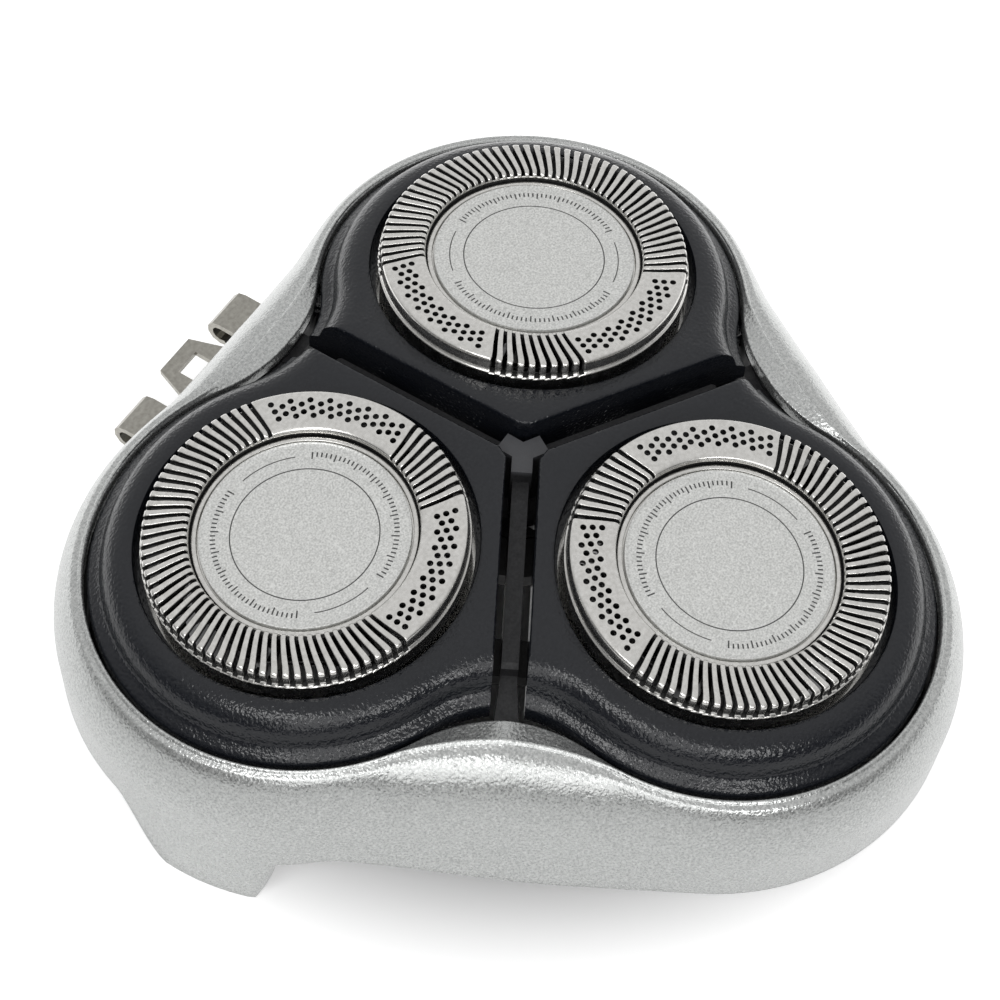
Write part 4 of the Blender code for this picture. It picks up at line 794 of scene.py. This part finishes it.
def disc_mesh():
    bm = bmesh.new()
    turns = even_turns(DISC_SIDES)
    loops = [polar_loop(bm, radius * MM, z * MM, turns) for radius, z in DISC_SIDE]
    bm.faces.new(loops[0])
    for lower, upper in zip(loops, loops[1:]):
        band(bm, lower, upper)
    rings = [polar_loop(bm, radius * MM, DISC_TOP, turns) for radius in DISC_RINGS]
    band(bm, loops[-1], rings[0])
    for number, (outer, inner) in enumerate(zip(rings, rings[1:])):
        for index in range(DISC_SIDES):
            after = (index + 1) % DISC_SIDES
            face = bm.faces.new((outer[index], outer[after], inner[after], inner[index]))
            face.material_index = int(inked(DISC_RINGS[number], 360 * (index + 0.5) / DISC_SIDES))
    bm.faces.new(rings[-1])
    return make_mesh("disc_skin", bm)


# Materials

def new_material(name):
    material = bpy.data.materials.new(name)
    material.use_nodes = True
    tree = material.node_tree
    shader = tree.nodes["Principled BSDF"]
    return material, tree, shader


def object_coordinates(tree):
    return tree.nodes.new("ShaderNodeTexCoord").outputs["Object"]


def noise(tree, scale, detail):
    node = tree.nodes.new("ShaderNodeTexNoise")
    node.inputs["Scale"].default_value = scale
    node.inputs["Detail"].default_value = detail
    tree.links.new(object_coordinates(tree), node.inputs["Vector"])
    return node.outputs["Fac"]


def colour_ramp(tree, value, stops):
    node = tree.nodes.new("ShaderNodeValToRGB")
    elements = node.color_ramp.elements
    while len(elements) < len(stops):
        elements.new(0.5)
    for element, (position, colour) in zip(elements, stops):
        element.position = position
        element.color = (*colour, 1.0)
    tree.links.new(value, node.inputs["Fac"])
    return node.outputs["Color"]


def map_range(tree, value, source, target=(0.0, 1.0)):
    node = tree.nodes.new("ShaderNodeMapRange")
    node.inputs["From Min"].default_value = source[0]
    node.inputs["From Max"].default_value = source[1]
    node.inputs["To Min"].default_value = target[0]
    node.inputs["To Max"].default_value = target[1]
    tree.links.new(value, node.inputs["Value"])
    return node.outputs["Result"]


def bump(tree, shader, height, distance):
    node = tree.nodes.new("ShaderNodeBump")
    node.inputs["Distance"].default_value = distance
    node.inputs["Strength"].default_value = 1.0
    tree.links.new(height, node.inputs["Height"])
    tree.links.new(node.outputs["Normal"], shader.inputs["Normal"])


def grained(name, tones, metallic, roughness, grain, relief, patches=2.5):
    """Material with fine grain: colour and bump vary at the grain's size, roughness in patches of it."""
    material, tree, shader = new_material(name)
    shader.inputs["Metallic"].default_value = metallic
    colour = colour_ramp(tree, noise(tree, 1 / grain, COLOUR_DETAIL), list(zip(NOISE_RANGE, tones)))
    tree.links.new(colour, shader.inputs["Base Color"])
    patchy = noise(tree, 1 / (patches * grain), ROUGHNESS_DETAIL)
    tree.links.new(map_range(tree, patchy, NOISE_RANGE, roughness), shader.inputs["Roughness"])
    bump(tree, shader, noise(tree, BUMP_SCALE / grain, BUMP_DETAIL), relief)
    return material


def paint_light_on_top(material, heights, tone):
    """Lighter tone painted on a black moulding's highest faces: painted light, where its top catches the
    light.
    """
    tree = material.node_tree
    socket = tree.nodes["Principled BSDF"].inputs["Base Color"]
    split = tree.nodes.new("ShaderNodeSeparateXYZ")
    tree.links.new(object_coordinates(tree), split.inputs["Vector"])
    mix = tree.nodes.new("ShaderNodeMix")
    mix.data_type = "RGBA"
    tree.links.new(map_range(tree, split.outputs["Z"], heights), mix.inputs["Factor"])
    tree.links.new(socket.links[0].from_socket, mix.inputs[MIX_FIRST])
    mix.inputs[MIX_SECOND].default_value = (*tone, 1.0)
    tree.links.new(mix.outputs[MIX_RESULT], socket)


# Dark and light tone, metallic, roughness, grain and relief; the patches' size where it isn't usual
MATERIALS = {
    "shell": grained("silver_lacquer", ((0.4, 0.41, 0.405), (0.64, 0.65, 0.64)), 0.8, (0.2, 0.36),
                     0.18 * MM, 0.042 * MM, 1.0),
    "frame": grained("textured_black", ((0.01, 0.01, 0.011), (0.024, 0.024, 0.026)), 0.0, (0.5, 0.65),
                     0.2 * MM, 0.02 * MM),
    "petal": grained("satin_black", ((0.005, 0.006, 0.009), (0.011, 0.0125, 0.016)), 0.0, (0.12, 0.26),
                     0.2 * MM, 0.055 * MM, 1.0),
    "guard": grained("polished_steel", ((0.64, 0.63, 0.605), (0.78, 0.77, 0.745)), 1.0, (0.2, 0.3),
                     0.3 * MM, 0.0015 * MM),
    # Painted shade: a dark stand-in for the steel of the guard's slot walls, undersides and inner faces
    "slot": grained("guard_painted_shade", ((0.01, 0.01, 0.01), (0.03, 0.03, 0.03)), 0.5, (0.5, 0.6),
                    0.2 * MM, 0.002 * MM),
    "disc": grained("satin_disc", ((0.54, 0.545, 0.53), (0.86, 0.865, 0.845)), 0.7, (0.34, 0.46),
                    0.14 * MM, 0.02 * MM),
    "print": grained("grey_print", ((0.03, 0.03, 0.03), (0.07, 0.07, 0.07)), 0.0, (0.5, 0.6),
                     0.1 * MM, 0.002 * MM),
    # Blade and lifter steel are far darker than steel: painted shade of the cutters inside the head
    "blade": grained("ground_steel", ((0.1, 0.1, 0.1), (0.18, 0.18, 0.18)), 1.0, (0.25, 0.4),
                     0.3 * MM, 0.002 * MM),
    "lifter": grained("spring_steel", ((0.06, 0.058, 0.055), (0.1, 0.097, 0.09)), 1.0, (0.3, 0.45),
                      0.3 * MM, 0.002 * MM),
    "hub": grained("grey_acetal", ((0.03, 0.03, 0.03), (0.05, 0.05, 0.05)), 0.0, (0.35, 0.5),
                   0.5 * MM, 0.003 * MM),
    "retainer": grained("dark_plastic", ((0.01, 0.01, 0.01), (0.018, 0.018, 0.018)), 0.0, (0.4, 0.55),
                        0.3 * MM, 0.01 * MM),
    "lock": grained("charcoal_plastic", ((0.016, 0.016, 0.017), (0.026, 0.026, 0.027)), 0.0, (0.4, 0.55),
                    0.3 * MM, 0.01 * MM),
    "clip": grained("stainless_clip", ((0.32, 0.307, 0.276), (0.43, 0.417, 0.376)), 1.0, (0.28, 0.42),
                    0.35 * MM, 0.004 * MM),
    "screw": grained("zinc_plated", ((0.5, 0.5, 0.5), (0.64, 0.64, 0.63)), 1.0, (0.28, 0.4),
                     0.2 * MM, 0.003 * MM),
}
PETAL_SHADER = MATERIALS["petal"].node_tree.nodes["Principled BSDF"]
PETAL_SHADER.inputs["Specular IOR Level"].default_value = PETAL_SPECULAR
# Painted light: the frame's hub and highest faces are made lighter
paint_light_on_top(MATERIALS["frame"], LIT_TOP_HEIGHTS, PAINTED_LIGHT_TONE)


def dress_cad_nodes():
    """Materials of the CAD nodes that stay in view."""
    kinds = {"inner_frame": "frame", "retaining_frame": "retainer", "lock_wheel": "lock",
             "hinge_clip": "clip", "clip_screw": "screw", "cutter_blades": "blade",
             "cutter_lifter": "lifter", "cutter_hub": "hub"}
    for name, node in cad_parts.items():
        for start, kind in kinds.items():
            if name.startswith(start):
                node.data.materials.clear()
                node.data.materials.append(MATERIALS[kind])
                break


# Stage, light and camera

def build_camera():
    back = Vector((
        math.sin(CAMERA_AZIMUTH) * math.cos(CAMERA_ELEVATION),
        -math.cos(CAMERA_AZIMUTH) * math.cos(CAMERA_ELEVATION),
        math.sin(CAMERA_ELEVATION),
    ))
    level = Vector((math.cos(CAMERA_AZIMUTH), math.sin(CAMERA_AZIMUTH), 0.0))
    upright = back.cross(level)
    right = math.cos(CAMERA_ROLL) * level + math.sin(CAMERA_ROLL) * upright
    up = back.cross(right)
    data = bpy.data.cameras.new("camera")
    data.sensor_fit = "HORIZONTAL"
    data.sensor_width = SENSOR_WIDTH
    data.lens = FOCAL_SHARE * SENSOR_WIDTH
    data.clip_start = CAMERA_NEAR
    camera = bpy.data.objects.new("camera", data)
    bpy.context.scene.collection.objects.link(camera)
    place = Matrix((right, up, back)).transposed().to_4x4()
    place.translation = CAMERA_TARGET + back * CAMERA_DISTANCE
    camera.matrix_world = place
    bpy.context.scene.camera = camera


def link_math(tree, operation, first, second):
    """Math node on two values, each a socket or a number."""
    node = tree.nodes.new("ShaderNodeMath")
    node.operation = operation
    for socket, value in zip(node.inputs, (first, second)):
        if isinstance(value, (int, float)):
            socket.default_value = value
        else:
            tree.links.new(value, socket)
    return node.outputs[0]


def grey_ramp(tree, value, stops):
    return colour_ramp(tree, value, [(position, (grey, grey, grey)) for position, grey in stops])


def far_share(tree, place, reach, stops):
    """How far a place or direction lies towards the far side, from 0 to 1."""
    along = tree.nodes.new("ShaderNodeVectorMath")
    along.operation = "DOT_PRODUCT"
    tree.links.new(place, along.inputs[0])
    along.inputs[1].default_value = FAR_SIDE / (2 * reach)
    return grey_ramp(tree, link_math(tree, "ADD", along.outputs["Value"], 0.5), stops)


def mixed(tree, share, first, second):
    """Blend of two values by a share, each a socket or a number."""
    kept = link_math(tree, "MULTIPLY", link_math(tree, "SUBTRACT", 1.0, share), first)
    return link_math(tree, "ADD", kept, link_math(tree, "MULTIPLY", share, second))


def build_floor():
    """Pale floor: it keeps the soft shadow, looks white to the camera and darker in reflections."""
    bm = bmesh.new()
    bmesh.ops.create_grid(bm, x_segments=1, y_segments=1, size=FLOOR_SIZE)
    floor = make_object("floor", make_mesh("floor", bm), Matrix.Translation((0, 0, -FLOOR_DROP)))
    material, tree, shader = new_material("pale_floor")
    tree.nodes.remove(shader)
    distance = tree.nodes.new("ShaderNodeVectorMath")
    distance.operation = "DISTANCE"
    tree.links.new(object_coordinates(tree), distance.inputs[0])
    distance.inputs[1].default_value = (0.0, AXIS_Y, 0.0)
    reach = link_math(tree, "MULTIPLY", distance.outputs["Value"], 1 / FLOOR_REACH)
    path = tree.nodes.new("ShaderNodeLightPath")
    seen = link_math(tree, "MULTIPLY", grey_ramp(tree, reach, FLOOR_SEEN), path.outputs["Is Camera Ray"])
    far = far_share(tree, object_coordinates(tree), FLOOR_REACH, FLOOR_SPREAD)
    mirrored = mixed(tree, far, grey_ramp(tree, reach, FLOOR_MIRRORED), FLOOR_FAR)
    mirrored = link_math(tree, "MULTIPLY", mirrored, path.outputs["Is Glossy Ray"])
    glow = tree.nodes.new("ShaderNodeEmission")
    tree.links.new(link_math(tree, "ADD", seen, mirrored), glow.inputs["Strength"])
    diffuse = tree.nodes.new("ShaderNodeBsdfDiffuse")
    diffuse.inputs["Color"].default_value = FLOOR_TONE
    total = tree.nodes.new("ShaderNodeAddShader")
    tree.links.new(diffuse.outputs[0], total.inputs[0])
    tree.links.new(glow.outputs[0], total.inputs[1])
    tree.links.new(total.outputs[0], tree.nodes["Material Output"].inputs["Surface"])
    floor.data.materials.append(material)


def build_world():
    """Soft studio sky, white where the camera itself sees it."""
    world = bpy.data.worlds.new("studio")
    bpy.context.scene.world = world
    world.use_nodes = True
    tree = world.node_tree
    background = tree.nodes["Background"]
    coordinates = tree.nodes.new("ShaderNodeTexCoord")
    split = tree.nodes.new("ShaderNodeSeparateXYZ")
    tree.links.new(coordinates.outputs["Generated"], split.inputs["Vector"])
    far = far_share(tree, coordinates.outputs["Generated"], 1.0, SKY_SPREAD)
    height = split.outputs["Z"]
    sky = mixed(tree, far, grey_ramp(tree, height, SKY), grey_ramp(tree, height, SKY_FAR))
    seen = tree.nodes.new("ShaderNodeLightPath").outputs["Is Camera Ray"]
    tree.links.new(link_math(tree, "MAXIMUM", sky, seen), background.inputs["Color"])


def add_lamp(name, bearing, elevation, size, power):
    """Area lamp that faces the object; its size is its width and height."""
    lamp = bpy.data.lights.new(name, "AREA")
    lamp.shape = "RECTANGLE"
    lamp.size, lamp.size_y = size
    lamp.energy = power
    made = bpy.data.objects.new(name, lamp)
    bearing, elevation = math.radians(bearing), math.radians(elevation)
    towards = Vector((math.cos(elevation) * math.cos(bearing), math.cos(elevation) * math.sin(bearing),
                      math.sin(elevation)))
    made.location = Vector((0, AXIS_Y, HEAD_HEIGHT)) + towards * LAMP_DISTANCE
    made.rotation_euler = towards.to_track_quat("Z", "Y").to_euler()
    bpy.context.scene.collection.objects.link(made)


def build_pieces():
    build_shell(MATERIALS["shell"])
    petal, guard, disc = petal_mesh(), guard_mesh(), disc_mesh()
    for name, direction in HEADS.items():
        lobe = lobe_matrix(direction)
        head = lobe @ head_in_lobe()
        dress(make_object(f"petal_{name}_skin", petal.copy(), lobe), f"petal_{name}", f"petal_{name}",
              "petal_black", MATERIALS["petal"])
        sunk = head @ Matrix.Translation((0, 0, -GUARD_SINK))
        dress(make_object(f"guard_{name}_skin", guard.copy(), sunk), f"guard_{name}", f"head_{name}",
              "guard_steel", MATERIALS["guard"], MATERIALS["slot"])
        dress(make_object(f"guard_disc_{name}_skin", disc.copy(), head), f"guard_disc_{name}", f"head_{name}",
              "disc_satin", MATERIALS["disc"], MATERIALS["print"])


dress_cad_nodes()
build_pieces()
build_camera()
build_floor()
build_world()
for lamp_name, lamp_values in LAMPS.items():
    add_lamp(lamp_name, *lamp_values)
bpy.context.scene.view_settings.view_transform = "Standard"
bpy.context.view_layer.update()
